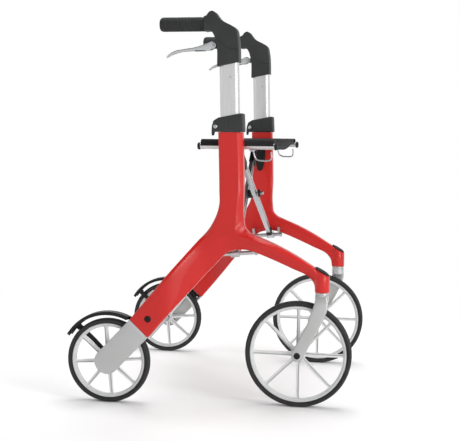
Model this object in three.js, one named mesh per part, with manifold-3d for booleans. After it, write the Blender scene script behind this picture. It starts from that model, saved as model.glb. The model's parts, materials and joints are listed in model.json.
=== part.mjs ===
// Folding rollator walker: two forked side frames on an X-shaped folding frame, a fabric seat,
// height-adjustable push handles with brake levers, two caster wheels in front and two fixed
// wheels behind. Millimetres, +X forward, +Y to the left, +Z up, wheels standing on Z = 0.
// Every paired piece is drawn for the left side, with outboard along +Y, and mirrored for the right.

import * as THREE from "three";
import { mergeVertices } from "three/addons/utils/BufferGeometryUtils.js";
import Module from "manifold-3d";

const wasm = await Module();
wasm.setup();

// ---------------------------------------------------------------- driving dimensions
const GAP = 0.3; // between pieces that touch
const RUNNING = 0.4; // radial clearance of a piece that turns or slides in another

const wheelbase = 444;
const frontWheelRadius = 125;
const rearWheelRadius = 100;
const tyreWidth = 22;
const tyreDepth = 11;
const rimDepth = 8;
const rimWidth = 16;
const spokeCount = 8;
const spokeWidth = 7;
const spokeThickness = 7;
const hubRadius = 15;
const hubWidth = 24;
const axleRadius = 5;
const wheelFacets = 32;

const mastY = 240; // middle plane of the masts
const frontWheelY = mastY - 9;
const rearWheelY = mastY + 43;
const frameThickness = 32;
const legEndThickness = 24;

const tubeLong = 46; // handle tube, fore and aft
const tubeWide = 24; // handle tube, across
const tubeWall = 2;
const tubeLean = THREE.MathUtils.degToRad(1.5); // the masts lean back by this
const handleTravel = 110;
const tubeInMast = 25; // length of tube left in the mast at full height, below the collar
const tubeMidX = 58; // middle of the handle tube at the mast's top
const mastTopZ = 640;
const mastRearWall = 4;
const mastFrontWall = 6.5;
const collarHeight = 36;
const collarHalfWidth = 18.5;

const gripZ = mastTopZ + 247;
const gripRadius = 16.5;
const bracketBottomZ = gripZ - 97;
const gripLength = 106;
const gripBarRadius = 10;
const bracketHalfWidth = 17;

const trail = 54; // from the swivel axis back to the front axle
const headRadius = 17;
const headHeight = 46;
const crownRadius = 16;
const crownHeight = 22;
const steererRadius = 10;
const steererLength = 28;
const tyreToCrown = 1; // the crown's underside above the tyre's highest point
const bladeThickness = 10;
const bladeHalfWidth = 15;

const railRadius = 7;
const seatRailY = mastY - 33;
const seatRailZ = mastTopZ - 33;
const seatRailRearX = -20;
const seatRailFrontX = 157;
const capLength = 7;
const capRadius = 8.5;
const seatThickness = 10;

const crotchZ = 365; // underside of the side frame, where the two legs meet
const lowerRailY = mastY - 27;
const lowerRailZ = crotchZ - 9.5;
const lowerRailX = 78;
const lowerRailRadius = 5;
const lowerRailLength = 76;
const foldLean = THREE.MathUtils.degToRad(5); // the folding plane leans back by this
const crossLong = 18;
const crossThick = 10;
const crossOffset = 11; // each cross tube's middle, in front of or behind the folding plane
const crossPivotRadius = 4;

const legEndTopAngle = 61.5; // degrees round the rear axle, above the forward direction
const legEndLowAngle = 31.5;
const shoeAngle = 35;
const plateThickness = 8;
const plateEndRadius = 30;
const guardRadius = rearWheelRadius + 13;
const guardThickness = 4;
const guardWidth = 26;
const guardTail = 149.5; // degrees above the forward direction, at the mudguard's rear edge
const stayAngle = 139;
const stayWidth = 12;
const stayThickness = 4;
const stayShift = 5; // the stay's middle, above the line from the axle
const rearSpokeTurn = 5; // degrees that the rear wheels have rolled
const hookWireRadius = 2;

const { cos, sin, tan, PI } = Math;
const rad = THREE.MathUtils.degToRad;
const frontAxleX = wheelbase / 2;
const rearAxleX = -wheelbase / 2;
const headX = frontAxleX + trail;
const crownBottomZ = 2 * frontWheelRadius + tyreToCrown;
const headBottomZ = crownBottomZ + crownHeight + GAP;

// ---------------------------------------------------------------- materials
function material(color, roughness, metalness = 0) {
  return new THREE.MeshStandardMaterial({ color, roughness, metalness });
}
const redPaint = material("#c5322c", 0.35, 0.1);
const silver = material("#c9cacb", 0.35, 0.9);
const silverPaint = material("#b4b6b6", 0.45, 0.6);
const steel = material("#b8bcc0", 0.3, 1);
const darkPlastic = material("#3b3d3e", 0.6);
const blackPlastic = material("#1c1d1e", 0.55);
const greyPlastic = material("#c4c6c8", 0.5);
const rubber = material("#2b2c2d", 0.85);
const fabric = material("#1b1c1e", 0.95);

// ---------------------------------------------------------------- shape helpers
function closed(geometry) {
  const plain = geometry.clone();
  plain.deleteAttribute("normal");
  plain.deleteAttribute("uv");
  return mergeVertices(plain, 1e-4);
}

function solid(geometry) {
  const merged = closed(geometry);
  return new wasm.Manifold(new wasm.Mesh({
    numProp: 3,
    vertProperties: new Float32Array(merged.attributes.position.array),
    triVerts: new Uint32Array(merged.index.array),
  }));
}

function geometryOf(manifold) {
  const mesh = manifold.getMesh();
  const geometry = new THREE.BufferGeometry();
  geometry.setAttribute("position", new THREE.BufferAttribute(mesh.vertProperties, 3));
  geometry.setIndex(new THREE.BufferAttribute(mesh.triVerts, 1));
  return geometry;
}

function join(...geometries) {
  const [first, ...rest] = geometries.map(solid);
  return geometryOf(rest.reduce((sum, piece) => sum.add(piece), first));
}

function cut(geometry, ...tools) {
  return geometryOf(tools.map(solid).reduce((left, tool) => left.subtract(tool), solid(geometry)));
}

function common(geometry, other) {
  return geometryOf(solid(geometry).intersect(solid(other)));
}

function shapeOf(outline) {
  if (outline instanceof THREE.Shape) {
    return outline;
  }
  return new THREE.Shape(outline.map(([a, b]) => new THREE.Vector2(a, b)));
}

// A closed outline of [x, y] points, made solid from z = low to z = high.
function column(outline, low, high) {
  const settings = { depth: high - low, bevelEnabled: false, curveSegments: 8 };
  return new THREE.ExtrudeGeometry(shapeOf(outline), settings).translate(0, 0, low);
}

// A closed outline of [x, z] points, made solid from y = low to y = high.
function slab(outline, low, high) {
  return column(outline, 0, high - low).rotateX(PI / 2).translate(0, high, 0);
}

// A round bar along Y, from a profile of [radius, y] points that starts and ends on the axis.
function turned(profile, facets = 16) {
  const points = profile.map(([r, y]) => new THREE.Vector2(r, y));
  return new THREE.LatheGeometry(points, facets, PI / facets, 2 * PI);
}

function rod(radius, low, high, facets = 16) {
  return turned([[0, low], [radius, low], [radius, high], [0, high]], facets);
}

function rodZ(radius, low, high, facets = 24) {
  return rod(radius, low, high, facets).rotateX(PI / 2);
}

function rodX(radius, low, high, facets = 16) {
  return rod(radius, low, high, facets).rotateZ(-PI / 2);
}

function box(lowX, highX, lowY, highY, lowZ, highZ) {
  return new THREE.BoxGeometry(highX - lowX, highY - lowY, highZ - lowZ)
    .translate((lowX + highX) / 2, (lowY + highY) / 2, (lowZ + highZ) / 2);
}

function arcPoints(x, z, radius, fromDeg, toDeg, steps) {
  const points = [];
  for (let i = 0; i <= steps; i += 1) {
    const angle = rad(fromDeg + ((toDeg - fromDeg) * i) / steps);
    points.push([x + radius * cos(angle), z + radius * sin(angle)]);
  }
  return points;
}

function mix([ax, az], [bx, bz], t) {
  return [ax + (bx - ax) * t, az + (bz - az) * t];
}

// A flat-oval outline of [x, y] points, centred on the origin.
function ovalPoints(long, wide, steps = 6) {
  const r = wide / 2;
  const half = long / 2 - r;
  return [...arcPoints(half, 0, r, -90, 90, steps), ...arcPoints(-half, 0, r, 90, 270, steps)];
}

function mirrored(geometry) {
  const flipped = closed(geometry).scale(1, -1, 1);
  const index = flipped.index.array;
  for (let i = 0; i < index.length; i += 3) {
    [index[i], index[i + 1]] = [index[i + 1], index[i]];
  }
  return flipped;
}

const walker = new THREE.Group();

function place(name, geometry, look, [x, y, z] = [0, 0, 0]) {
  const mesh = new THREE.Mesh(closed(geometry), look);
  mesh.name = name;
  mesh.position.set(x, y, z);
  walker.add(mesh);
}

// The same piece on both sides, from its left-hand drawing.
function placePair(name, geometry, look, [x, y, z] = [0, 0, 0]) {
  place(`left_${name}`, geometry, look, [x, y, z]);
  place(`right_${name}`, mirrored(geometry), look, [x, -y, z]);
}

// ---------------------------------------------------------------- side frame
// The handle tube's middle at height z: the mast and the tube lean back together.
const tubeX = (z) => tubeMidX - (z - mastTopZ) * tan(tubeLean);
const mastRearX = (z) => tubeX(z) - tubeLong / 2 - mastRearWall;
const mastFrontX = (z) => tubeX(z) + tubeLong / 2 + mastFrontWall;
const facetWidth = 11; // the mast's angled front facet, seen from the side
const edgeWidth = 5; // the narrow edges around the outer face
const ridgeWidth = 3;

// The leg ends just outside the rear tyre; both corners lie on one circle round the axle.
const legEndRadius = rearWheelRadius + 17.5;
const roundRearAxle = (radius, degrees) => [
  rearAxleX + radius * cos(rad(degrees)),
  rearWheelRadius + radius * sin(rad(degrees)),
];
const legEndTop = roundRearAxle(legEndRadius, legEndTopAngle);
const legEndLow = roundRearAxle(legEndRadius, legEndLowAngle);
const slopeRise = -0.583; // the head's sloping top
const headTopZ = headBottomZ + headHeight; // on the swivel axis
const headSlopeZ = (x) => headTopZ + (x - headX) * slopeRise;

// Pairs of points round the frame: [silhouette x, z, outer face x, z].
function framePairs() {
  const rearHip = [-15, crotchZ + 21];
  const rearHipFace = [-10, crotchZ + 16.5];
  const legEndTopFace = [legEndTop[0] + 3.5, legEndTop[1] - 3.5];
  const legEndLowFace = [legEndLow[0] - 3.5, legEndLow[1] + 3.5];
  const lowHip = [-9, crotchZ - 70.5];
  const lowSlope = Math.atan2(lowHip[1] - legEndLow[1], lowHip[0] - legEndLow[0]);
  const facetTip = 0.52; // where the rear leg's lower facet starts, from the leg's end to lowHip
  const rows = [];
  const add = (outline, face) => rows.push([...outline, ...face]);
  add([mastRearX(mastTopZ), mastTopZ], [mastRearX(mastTopZ) + edgeWidth, mastTopZ]);
  for (const [height, back] of [[140, 0], [109, 0.5], [92, 4.5], [70, 14], [48, 28]]) {
    const z = crotchZ + height;
    add([mastRearX(z) - back, z], [mastRearX(z) - back + edgeWidth, z - back * 0.2]);
  }
  for (let i = 0; i < 5; i += 1) {
    add(mix(rearHip, legEndTop, i / 4), mix(rearHipFace, legEndTopFace, i / 4));
  }
  for (let i = 0; i < 3; i += 1) {
    const t = (facetTip * i) / 2;
    const shift = mix(legEndLowFace, [lowHip[0] - 3.5, lowHip[1] + 3.5], t);
    add(mix(legEndLow, lowHip, t), shift);
  }
  for (const [t, depth] of [[0.64, 9.7], [0.76, 19], [0.88, 29], [1, 35]]) {
    const [x, z] = mix(legEndLow, lowHip, t);
    add([x, z], [x - depth * sin(lowSlope), z + depth * cos(lowSlope)]);
  }
  const arch = [
    [28, -30.5, 18, 15],
    [45, -12, 41, 30],
    [55, -4.5, 56, 35],
    [68, 0, 68, 36],
    [85.5, 2.5, 85, 33],
    [103, 1, 100, 29],
  ];
  for (const [x, z, faceX, faceZ] of arch) {
    add([x, crotchZ + z], [faceX, crotchZ + faceZ]);
  }
  const legLowRear = [122, crotchZ - 4.5];
  const legLowFront = [headX - headRadius - 13, headSlopeZ(headX - headRadius) - 23];
  const ridgeRear = [123, crotchZ + 21];
  const ridgeFront = [headX - 21, headSlopeZ(headX - 21) - 9];
  for (let i = 0; i < 4; i += 1) {
    const bow = 4 * sin((PI * i) / 3);
    const [lx, lz] = mix(legLowRear, legLowFront, i / 3);
    const [rx, rz] = mix(ridgeRear, ridgeFront, i / 3);
    add([lx, lz + bow * 0.6], [rx, rz + bow]);
  }
  add([headX - headRadius - 3, headBottomZ + 20], [headX - 9, headBottomZ + 31]);
  add([headX - headRadius + 1, headBottomZ], [headX - 5, headBottomZ]);
  const front = headX + headRadius - 1;
  add([front, headBottomZ], [headX - 5 + ridgeWidth, headBottomZ]);
  add([front, headSlopeZ(front)], [headX - 6 + ridgeWidth, headBottomZ + 33]);
  const legTopFront = [headX - 16, headSlopeZ(headX - 16)];
  const legTopRear = [119, crotchZ + 36.5];
  for (let i = 0; i < 4; i += 1) {
    const bow = 5 * sin((PI * i) / 3);
    const [tx, tz] = mix(legTopFront, legTopRear, i / 3);
    const [rx, rz] = mix(ridgeFront, ridgeRear, i / 3);
    add([tx, tz + bow], [rx + 1, rz + bow + ridgeWidth]);
  }
  add([104, crotchZ + 43.5], [101.5, crotchZ + 32]);
  add([94, crotchZ + 55.5], [86, crotchZ + 36]);
  for (const [height, inward, down] of [[69, 1, 23], [85, 2, 16], [140, 0, 0]]) {
    const z = crotchZ + height;
    const x = mastFrontX(z) - inward;
    add([x, z], [x - facetWidth - down * 0.25, z - down]);
  }
  add([mastFrontX(mastTopZ), mastTopZ], [mastFrontX(mastTopZ) - facetWidth, mastTopZ]);
  return rows;
}

const smooth = (t) => THREE.MathUtils.smoothstep(t, 0, 1);
const legEndY = rearWheelY + tyreWidth / 2 - 1; // middle plane of the leg's end
const legFlatLength = 27; // the last stretch of the rear leg no longer sweeps outboard
const rearSweep = (x) => smooth((10 - x) / (10 - legEndLow[0] - legFlatLength));
const frontSweep = (x) => smooth((x - 120) / (headX - headRadius - 120));
const headY = frontWheelY + 3;
const frameMiddleY = (x) => mastY + (legEndY - mastY) * rearSweep(x) + (headY - mastY) * frontSweep(x);
const frameHalf = (x) => (frameThickness + (legEndThickness - frameThickness) * rearSweep(x)) / 2
  - 1.5 * frontSweep(x);

function frameShell() {
  const rows = framePairs();
  const count = rows.length;
  const positions = [];
  const deepestFacet = 14;
  const addRing = (pick) => rows.forEach((row) => positions.push(...pick(row)));
  addRing(([x, z]) => [x, frameMiddleY(x) - frameHalf(x), z]);
  addRing(([x, z, faceX, faceZ]) => {
    const inset = Math.hypot(faceX - x, faceZ - z);
    return [x, frameMiddleY(x) + frameHalf(x) - Math.min(deepestFacet, 0.9 * inset), z];
  });
  addRing(([, , x, z]) => [x, frameMiddleY(x) + frameHalf(x), z]);
  const index = [];
  for (const ring of [0, count]) {
    for (let i = 0; i < count; i += 1) {
      const a = ring + i;
      const b = ring + ((i + 1) % count);
      index.push(a, a + count, b + count, a, b + count, b);
    }
  }
  const cap = (pick) => THREE.ShapeUtils.triangulateShape(rows.map(pick), []);
  const inner = cap(([x, z]) => new THREE.Vector2(x, z));
  const outer = cap(([, , x, z]) => new THREE.Vector2(x, z));
  inner.forEach(([a, b, c]) => index.push(a, b, c));
  outer.forEach(([a, b, c]) => index.push(a + 2 * count, c + 2 * count, b + 2 * count));
  const geometry = new THREE.BufferGeometry();
  geometry.setAttribute("position", new THREE.Float32BufferAttribute(positions, 3));
  geometry.setIndex(index);
  return geometry;
}

// Puts a shape drawn about the handle tube's axis, from z = 0 at the mast's top, in its place.
function onTubeAxis(geometry) {
  return geometry.rotateY(-tubeLean).translate(tubeMidX, mastY, mastTopZ);
}

const legAngle = rad((legEndTopAngle + legEndLowAngle) / 2); // from the axle through the leg's end
const legDirection = [cos(legAngle), sin(legAngle)];
const legMiddle = mix(legEndTop, legEndLow, 0.5);
const plateOuterY = legEndY + legEndThickness / 2 - 1;
const plateInnerY = plateOuterY - plateThickness;
const spigotLength = 46;
const spigotHalfWidth = 18;
const spigotThickness = 6;
const boltInLeg = 32;
const legBoltRadius = 3;
const legBoltHeadRadius = 7.5;
const legBoltHeadHeight = 2;

// A point given along the leg from its end and across it towards the rear.
function onLeg(along, across) {
  const [dx, dz] = legDirection;
  return [legMiddle[0] + dx * along - dz * across, legMiddle[1] + dz * along + dx * across];
}

function legBar(from, to, halfWidth, lowY, highY) {
  const near = [onLeg(from, -halfWidth), onLeg(to, -halfWidth)];
  const far = [onLeg(to, halfWidth), onLeg(from, halfWidth)];
  return slab([...near, ...far], lowY, highY);
}

const boltPoint = onLeg(boltInLeg, 0);
const boltFaceY = frameMiddleY(boltPoint[0]) + frameHalf(boltPoint[0]);

function sideFrame() {
  const boreDepth = tubeInMast + handleTravel + 5;
  const bore = column(ovalPoints(tubeLong + 2 * RUNNING, tubeWide + 2 * RUNNING), -boreDepth, 10);
  const head = rodZ(headRadius, headBottomZ, headTopZ + 20).translate(headX, headY, 0);
  const reach = headRadius + 5;
  const above = slab([
    [headX - reach, headSlopeZ(headX - reach)],
    [headX + reach, headSlopeZ(headX + reach)],
    [headX + reach, headTopZ + 40],
    [headX - reach, headTopZ + 40],
  ], headY - reach, headY + reach);
  const steererBore = rodZ(steererRadius + RUNNING, headBottomZ - 5, headBottomZ + steererLength + 2)
    .translate(headX, headY, 0);
  const spigotMiddleY = plateInnerY + spigotThickness / 2;
  const pocket = legBar(-10, spigotLength + 1, spigotHalfWidth + GAP,
    spigotMiddleY - spigotThickness / 2 - GAP, spigotMiddleY + spigotThickness / 2 + GAP);
  const boltHole = rod(legBoltRadius + GAP, boltFaceY - 40, boltFaceY + 5)
    .translate(boltPoint[0], 0, boltPoint[1]);
  const boltSeat = rod(legBoltHeadRadius + GAP, boltFaceY - legBoltHeadHeight - GAP, boltFaceY + 5)
    .translate(boltPoint[0], 0, boltPoint[1]);
  const shell = join(frameShell(), cut(head, above));
  return cut(shell, onTubeAxis(bore), steererBore, pocket, boltHole, boltSeat);
}

placePair("side_frame", sideFrame(), redPaint);

function headCap() {
  const disc = rodZ(headRadius - 1, headBottomZ, headTopZ + 20).translate(headX, headY, 0);
  const reach = headRadius + 5;
  const thickness = 4;
  const layer = slab([
    [headX - reach, headSlopeZ(headX - reach) + GAP],
    [headX + reach, headSlopeZ(headX + reach) + GAP],
    [headX + reach, headSlopeZ(headX + reach) + GAP + thickness],
    [headX - reach, headSlopeZ(headX - reach) + GAP + thickness],
  ], headY - reach, headY + reach);
  return common(disc, layer);
}

placePair("head_cap", headCap(), blackPlastic);

// ---------------------------------------------------------------- rear leg plate, bolt, brake shoe
const shoePivot = roundRearAxle(rearWheelRadius + 9, shoeAngle);
const shoePinRadius = 2.5;
const shoeBossRadius = 5;

function rearLegPlate() {
  const endAngle = 45;
  const outline = [
    onLeg(-GAP, 30),
    ...arcPoints(rearAxleX, rearWheelRadius, plateEndRadius, endAngle + 90, endAngle + 270, 12),
    onLeg(-GAP, -30),
  ];
  const plate = slab(outline, plateInnerY, plateOuterY);
  const spigot = legBar(-6, spigotLength, spigotHalfWidth, plateInnerY, plateInnerY + spigotThickness);
  const shoePin = rod(shoePinRadius, rearWheelY - tyreWidth / 2 + 1, plateInnerY + 2)
    .translate(shoePivot[0], 0, shoePivot[1]);
  const boltHole = rod(legBoltRadius + GAP, plateInnerY - 5, plateOuterY + 5)
    .translate(boltPoint[0], 0, boltPoint[1]);
  const axleSocket = rod(axleRadius + GAP, plateInnerY - 5, plateInnerY + 4.3)
    .translate(rearAxleX, 0, rearWheelRadius);
  return cut(join(plate, spigot, shoePin), boltHole, axleSocket);
}

placePair("rear_leg_plate", rearLegPlate(), silverPaint);

const boltInnerY = frameMiddleY(boltPoint[0]) - frameHalf(boltPoint[0]) + 1;
placePair("leg_bolt", turned([
  [0, boltInnerY],
  [legBoltRadius, boltInnerY],
  [legBoltRadius, boltFaceY - legBoltHeadHeight],
  [legBoltHeadRadius, boltFaceY - legBoltHeadHeight],
  [legBoltHeadRadius, boltFaceY],
  [3.5, boltFaceY],
  [3.5, boltFaceY - 1],
  [0, boltFaceY - 1],
]), blackPlastic, [boltPoint[0], 0, boltPoint[1]]);

function brakeShoe() {
  const inner = rearWheelRadius + 3;
  const outer = inner + 5;
  const outline = [
    ...arcPoints(rearAxleX, rearWheelRadius, outer, 34, 60, 6),
    ...arcPoints(rearAxleX, rearWheelRadius, inner, 60, 34, 6),
  ];
  const low = rearWheelY - tyreWidth / 2 + 2;
  const high = rearWheelY + tyreWidth / 2 - 2;
  const pad = slab(outline, low, high);
  const boss = rod(shoeBossRadius, low, high).translate(shoePivot[0], 0, shoePivot[1]);
  const bore = rod(shoePinRadius + RUNNING, low - 5, high + 5).translate(shoePivot[0], 0, shoePivot[1]);
  return cut(join(pad, boss), bore);
}

placePair("brake_shoe", brakeShoe(), blackPlastic);

// ---------------------------------------------------------------- mudguard and its stay
const stayInnerY = rearWheelY - hubWidth / 2 - 2 - stayThickness;

function mudguard() {
  const front = 63;
  const tongueEnd = 52;
  const lowY = rearWheelY - guardWidth / 2;
  const highY = rearWheelY + guardWidth / 2;
  const arc = (from, to, steps) => [
    ...arcPoints(rearAxleX, rearWheelRadius, guardRadius + guardThickness, from, to, steps),
    ...arcPoints(rearAxleX, rearWheelRadius, guardRadius, to, from, steps),
  ];
  const sheet = slab(arc(front, guardTail, 14), lowY, highY);
  const legInnerY = legEndY - legEndThickness / 2;
  const tongue = slab(arc(tongueEnd, front + 3, 3), lowY, legInnerY - 1);
  const low = -stayWidth / 2 - stayShift;
  const high = stayWidth / 2 - stayShift;
  const stay = box(0, guardRadius + 2, stayInnerY, stayInnerY + stayThickness, low, high);
  const foot = box(guardRadius - 12, guardRadius + 2, stayInnerY, lowY + 6, low, high);
  const eye = rod(9, stayInnerY, stayInnerY + stayThickness);
  const hole = rod(axleRadius + GAP, stayInnerY - 5, stayInnerY + stayThickness + 5);
  const arm = cut(join(stay, eye, foot), hole)
    .rotateY(-rad(stayAngle)).translate(rearAxleX, 0, rearWheelRadius);
  return join(sheet, tongue, arm);
}

placePair("mudguard", mudguard(), blackPlastic);

// ---------------------------------------------------------------- wheels
// A ring whose flats, not its corners, lie at the stated radii, so that a wheel stands on a flat.
function ring(profile) {
  const spread = 1 / cos(PI / wheelFacets);
  const points = profile.map(([r, y]) => new THREE.Vector2(r * spread, y));
  points.push(points[0].clone());
  return new THREE.LatheGeometry(points, wheelFacets, PI / wheelFacets, 2 * PI);
}

function tyre(radius) {
  const half = tyreWidth / 2;
  const inner = radius - tyreDepth;
  return ring([
    [inner, -half + 2.5],
    [radius - 5, -half],
    [radius, -half + 5],
    [radius, half - 5],
    [radius - 5, half],
    [inner, half - 2.5],
  ]);
}

function rim(radius, rolled = 0) {
  const outer = radius - tyreDepth - GAP;
  const inner = outer - rimDepth;
  const half = rimWidth / 2;
  let wheel = solid(ring([[inner, -half], [outer, -half], [outer, half], [inner, half]]));
  wheel = wheel.add(solid(rod(hubRadius, -hubWidth / 2, hubWidth / 2)));
  for (let i = 0; i < spokeCount; i += 1) {
    const spoke = new THREE.BoxGeometry(inner - hubRadius + 6, spokeThickness, spokeWidth)
      .translate((hubRadius + inner) / 2, 0, 0);
    wheel = wheel.add(solid(spoke.rotateY((2 * PI * i) / spokeCount - rad(rolled))));
  }
  return geometryOf(wheel.subtract(solid(rod(axleRadius + RUNNING, -hubWidth, hubWidth))));
}

const frontHub = [frontAxleX, frontWheelY, frontWheelRadius];
const rearHub = [rearAxleX, rearWheelY, rearWheelRadius];
placePair("front_tyre", tyre(frontWheelRadius), rubber, frontHub);
placePair("front_rim", rim(frontWheelRadius), greyPlastic, frontHub);
placePair("rear_tyre", tyre(rearWheelRadius), rubber, rearHub);
placePair("rear_rim", rim(rearWheelRadius, rearSpokeTurn), greyPlastic, rearHub);

placePair("rear_axle", turned([
  [0, stayInnerY - GAP - 3.5],
  [8, stayInnerY - GAP - 3.5],
  [8, stayInnerY - GAP],
  [axleRadius, stayInnerY - GAP],
  [axleRadius, plateInnerY + 4],
  [0, plateInnerY + 4],
]), steel, [rearAxleX, 0, rearWheelRadius]);

// ---------------------------------------------------------------- caster fork
const bladeInnerY = frontWheelY + hubWidth / 2 + 3;
const bladeOuterY = bladeInnerY + bladeThickness;

function fork() {
  const top = crownBottomZ + crownHeight - 6;
  const crown = rodZ(crownRadius, crownBottomZ, crownBottomZ + crownHeight).translate(headX, headY, 0);
  const steerer = rodZ(steererRadius, crownBottomZ + 2, headBottomZ + steererLength)
    .translate(headX, headY, 0);
  const shoulder = box(headX - crownRadius, headX + crownRadius, headY, bladeOuterY, crownBottomZ, top);
  const blade = slab([
    [headX + crownRadius, top],
    [headX + crownRadius, crownBottomZ - 11],
    [headX + 11, crownBottomZ - 29],
    ...arcPoints(frontAxleX, frontWheelRadius, bladeHalfWidth, -15, -205, 10),
    [headX - 26, crownBottomZ - 18],
    [headX - crownRadius, crownBottomZ + 2],
    [headX - crownRadius, top],
  ], bladeInnerY, bladeOuterY);
  const hole = rod(axleRadius + GAP, bladeInnerY - 5, bladeOuterY + 5)
    .translate(frontAxleX, 0, frontWheelRadius);
  return cut(join(crown, steerer, shoulder, blade), hole);
}

placePair("fork", fork(), silverPaint);

const frontAxleInner = frontWheelY - hubWidth / 2 - GAP;
placePair("front_axle", turned([
  [0, frontAxleInner - 4],
  [9, frontAxleInner - 4],
  [9, frontAxleInner],
  [axleRadius, frontAxleInner],
  [axleRadius, bladeOuterY + GAP],
  [7.5, bladeOuterY + GAP],
  [7.5, bladeOuterY + 3],
  [3.5, bladeOuterY + 3],
  [3.5, bladeOuterY + 1],
  [0, bladeOuterY + 1],
]), blackPlastic, [frontAxleX, 0, frontWheelRadius]);

// ---------------------------------------------------------------- collar and its clamping lever
const leverPivot = [tubeX(mastTopZ + 13) - tubeLong / 2 - 9, mastTopZ + 13];
const leverHalfWidth = 9;
const camRadius = 6.5;
const leverPinRadius = 2.5;

function heightCollar() {
  const low = mastTopZ + GAP;
  const rear = tubeX(low) - tubeLong / 2 - 16;
  const front = tubeX(low) + tubeLong / 2 + 10;
  const body = slab([
    [rear, low],
    [front, low],
    [front - 2, mastTopZ + collarHeight + 7],
    [front - 6, mastTopZ + collarHeight + 7.5],
    [rear + 4, mastTopZ + collarHeight - 8],
    [rear, mastTopZ + collarHeight - 14],
  ], mastY - collarHalfWidth, mastY + collarHalfWidth);
  const bore = column(ovalPoints(tubeLong + 2 * GAP, tubeWide + 2 * GAP), -20, collarHeight + 30);
  const slotHalf = leverHalfWidth + GAP;
  const slot = box(rear - 5, leverPivot[0] + camRadius + 1, mastY - slotHalf, mastY + slotHalf,
    low - 5, leverPivot[1] + camRadius + 6);
  const pinHole = rod(leverPinRadius + GAP, mastY - 30, mastY + 30)
    .translate(leverPivot[0], 0, leverPivot[1]);
  return cut(body, onTubeAxis(bore), slot, pinHole);
}

placePair("height_collar", heightCollar(), darkPlastic);

function heightLever() {
  const cam = rod(camRadius, -leverHalfWidth, leverHalfWidth);
  const flap = slab([
    [-9.5, 6],
    [-6.5, 7],
    [0, 3],
    [-4, -7],
    [-8, -21],
    [-10.5, -21],
  ], -leverHalfWidth, leverHalfWidth);
  const bore = rod(leverPinRadius + RUNNING, -20, 20);
  return cut(join(cam, flap), bore);
}

placePair("height_lever", heightLever(), darkPlastic, [leverPivot[0], mastY, leverPivot[1]]);

const screwReach = collarHalfWidth + GAP;
placePair("height_lever_screw", turned([
  [0, -screwReach - 2],
  [4.5, -screwReach - 2],
  [4.5, -screwReach],
  [leverPinRadius, -screwReach],
  [leverPinRadius, screwReach],
  [4.5, screwReach],
  [4.5, screwReach + 2],
  [0, screwReach + 2],
]), steel, [leverPivot[0], mastY, leverPivot[1]]);

// ---------------------------------------------------------------- handle tube, bracket and grip
const tubeTop = bracketBottomZ - mastTopZ + 15; // above the mast's top
function handleTube() {
  const outside = column(ovalPoints(tubeLong, tubeWide), -tubeInMast, tubeTop);
  const hollow = ovalPoints(tubeLong - 2 * tubeWall, tubeWide - 2 * tubeWall);
  const inside = column(hollow, -tubeInMast - 5, tubeTop + 5);
  return onTubeAxis(cut(outside, inside));
}

placePair("handle_tube", handleTube(), silver);

const bracketBackX = tubeX(bracketBottomZ) - tubeLong / 2 - 3; // the bracket's face behind the tube
const bracketRearX = bracketBackX - 32; // where the grip meets the bracket
const brakePivot = [bracketBackX - 11, gripZ - 49];
const brakePinRadius = 2.5;
const lugRadius = 5; // of the lug that carries the brake lever
const lugHalfWidth = 5;
const cheekInner = lugHalfWidth + 0.5; // the lever's cheeks, one on each side of the lug
const cheekOuter = cheekInner + 3;

function handleBracket() {
  const rear = bracketBackX;
  const front = tubeX(bracketBottomZ) + tubeLong / 2 + 2;
  const outline = new THREE.Shape();
  outline.moveTo(bracketRearX, gripZ + gripRadius);
  outline.quadraticCurveTo(rear - 23, gripZ + 21, rear - 19, gripZ + 28);
  outline.quadraticCurveTo(rear - 13, gripZ + 31, rear - 7, gripZ + 27);
  outline.quadraticCurveTo(rear - 1, gripZ + 17, rear + 12, gripZ + 6);
  outline.quadraticCurveTo(front - 6, gripZ - 14, front - 1, gripZ - 50);
  outline.lineTo(front, bracketBottomZ + 10);
  outline.lineTo(rear, bracketBottomZ);
  outline.lineTo(rear, bracketBottomZ + 34);
  outline.quadraticCurveTo(rear - 3, gripZ - 22, rear - 16, gripZ - gripRadius);
  outline.lineTo(bracketRearX, gripZ - gripRadius);
  const bevel = 4;
  const flatHalf = bracketHalfWidth - bevel;
  const body = new THREE.ExtrudeGeometry(outline, {
    depth: 2 * flatHalf,
    bevelEnabled: true,
    bevelThickness: bevel,
    bevelSize: bevel,
    bevelOffset: -bevel,
    bevelSegments: 2,
    curveSegments: 4,
  }).rotateX(PI / 2).translate(0, flatHalf, 0);
  const bar = rodX(gripBarRadius, bracketRearX - gripLength + 4, rear - 8).translate(0, 0, gripZ);
  const [pivotX, pivotZ] = brakePivot;
  const arm = slab([
    [pivotX, pivotZ - lugRadius],
    [rear + 4, pivotZ - 8],
    [rear + 4, pivotZ + 8],
    [pivotX, pivotZ + lugRadius],
  ], -lugHalfWidth, lugHalfWidth);
  const lug = join(arm, rod(lugRadius, -lugHalfWidth, lugHalfWidth).translate(pivotX, 0, pivotZ));
  const socketStart = bracketBottomZ - mastTopZ - 20;
  const socket = column(ovalPoints(tubeLong + 2 * GAP, tubeWide + 2 * GAP), socketStart, tubeTop + 1);
  const pinHole = rod(brakePinRadius + GAP, -20, 20).translate(pivotX, 0, pivotZ);
  const bracket = join(body, bar, lug).translate(0, mastY, 0);
  return cut(bracket, onTubeAxis(socket), pinHole.translate(0, mastY, 0));
}

placePair("handle_bracket", handleBracket(), darkPlastic);

function grip() {
  const rear = bracketRearX - gripLength;
  const front = bracketRearX - GAP;
  const sleeve = turned([
    [0, rear],
    [gripRadius - 6, rear],
    [gripRadius - 1.5, rear + 3],
    [gripRadius, rear + 8],
    [gripRadius, front],
    [0, front],
  ], 20).rotateZ(-PI / 2);
  const bore = rodX(gripBarRadius + GAP, rear + 4 - GAP, front + 10);
  return cut(sleeve, bore);
}

placePair("grip", grip(), rubber, [0, mastY, gripZ]);

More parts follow.
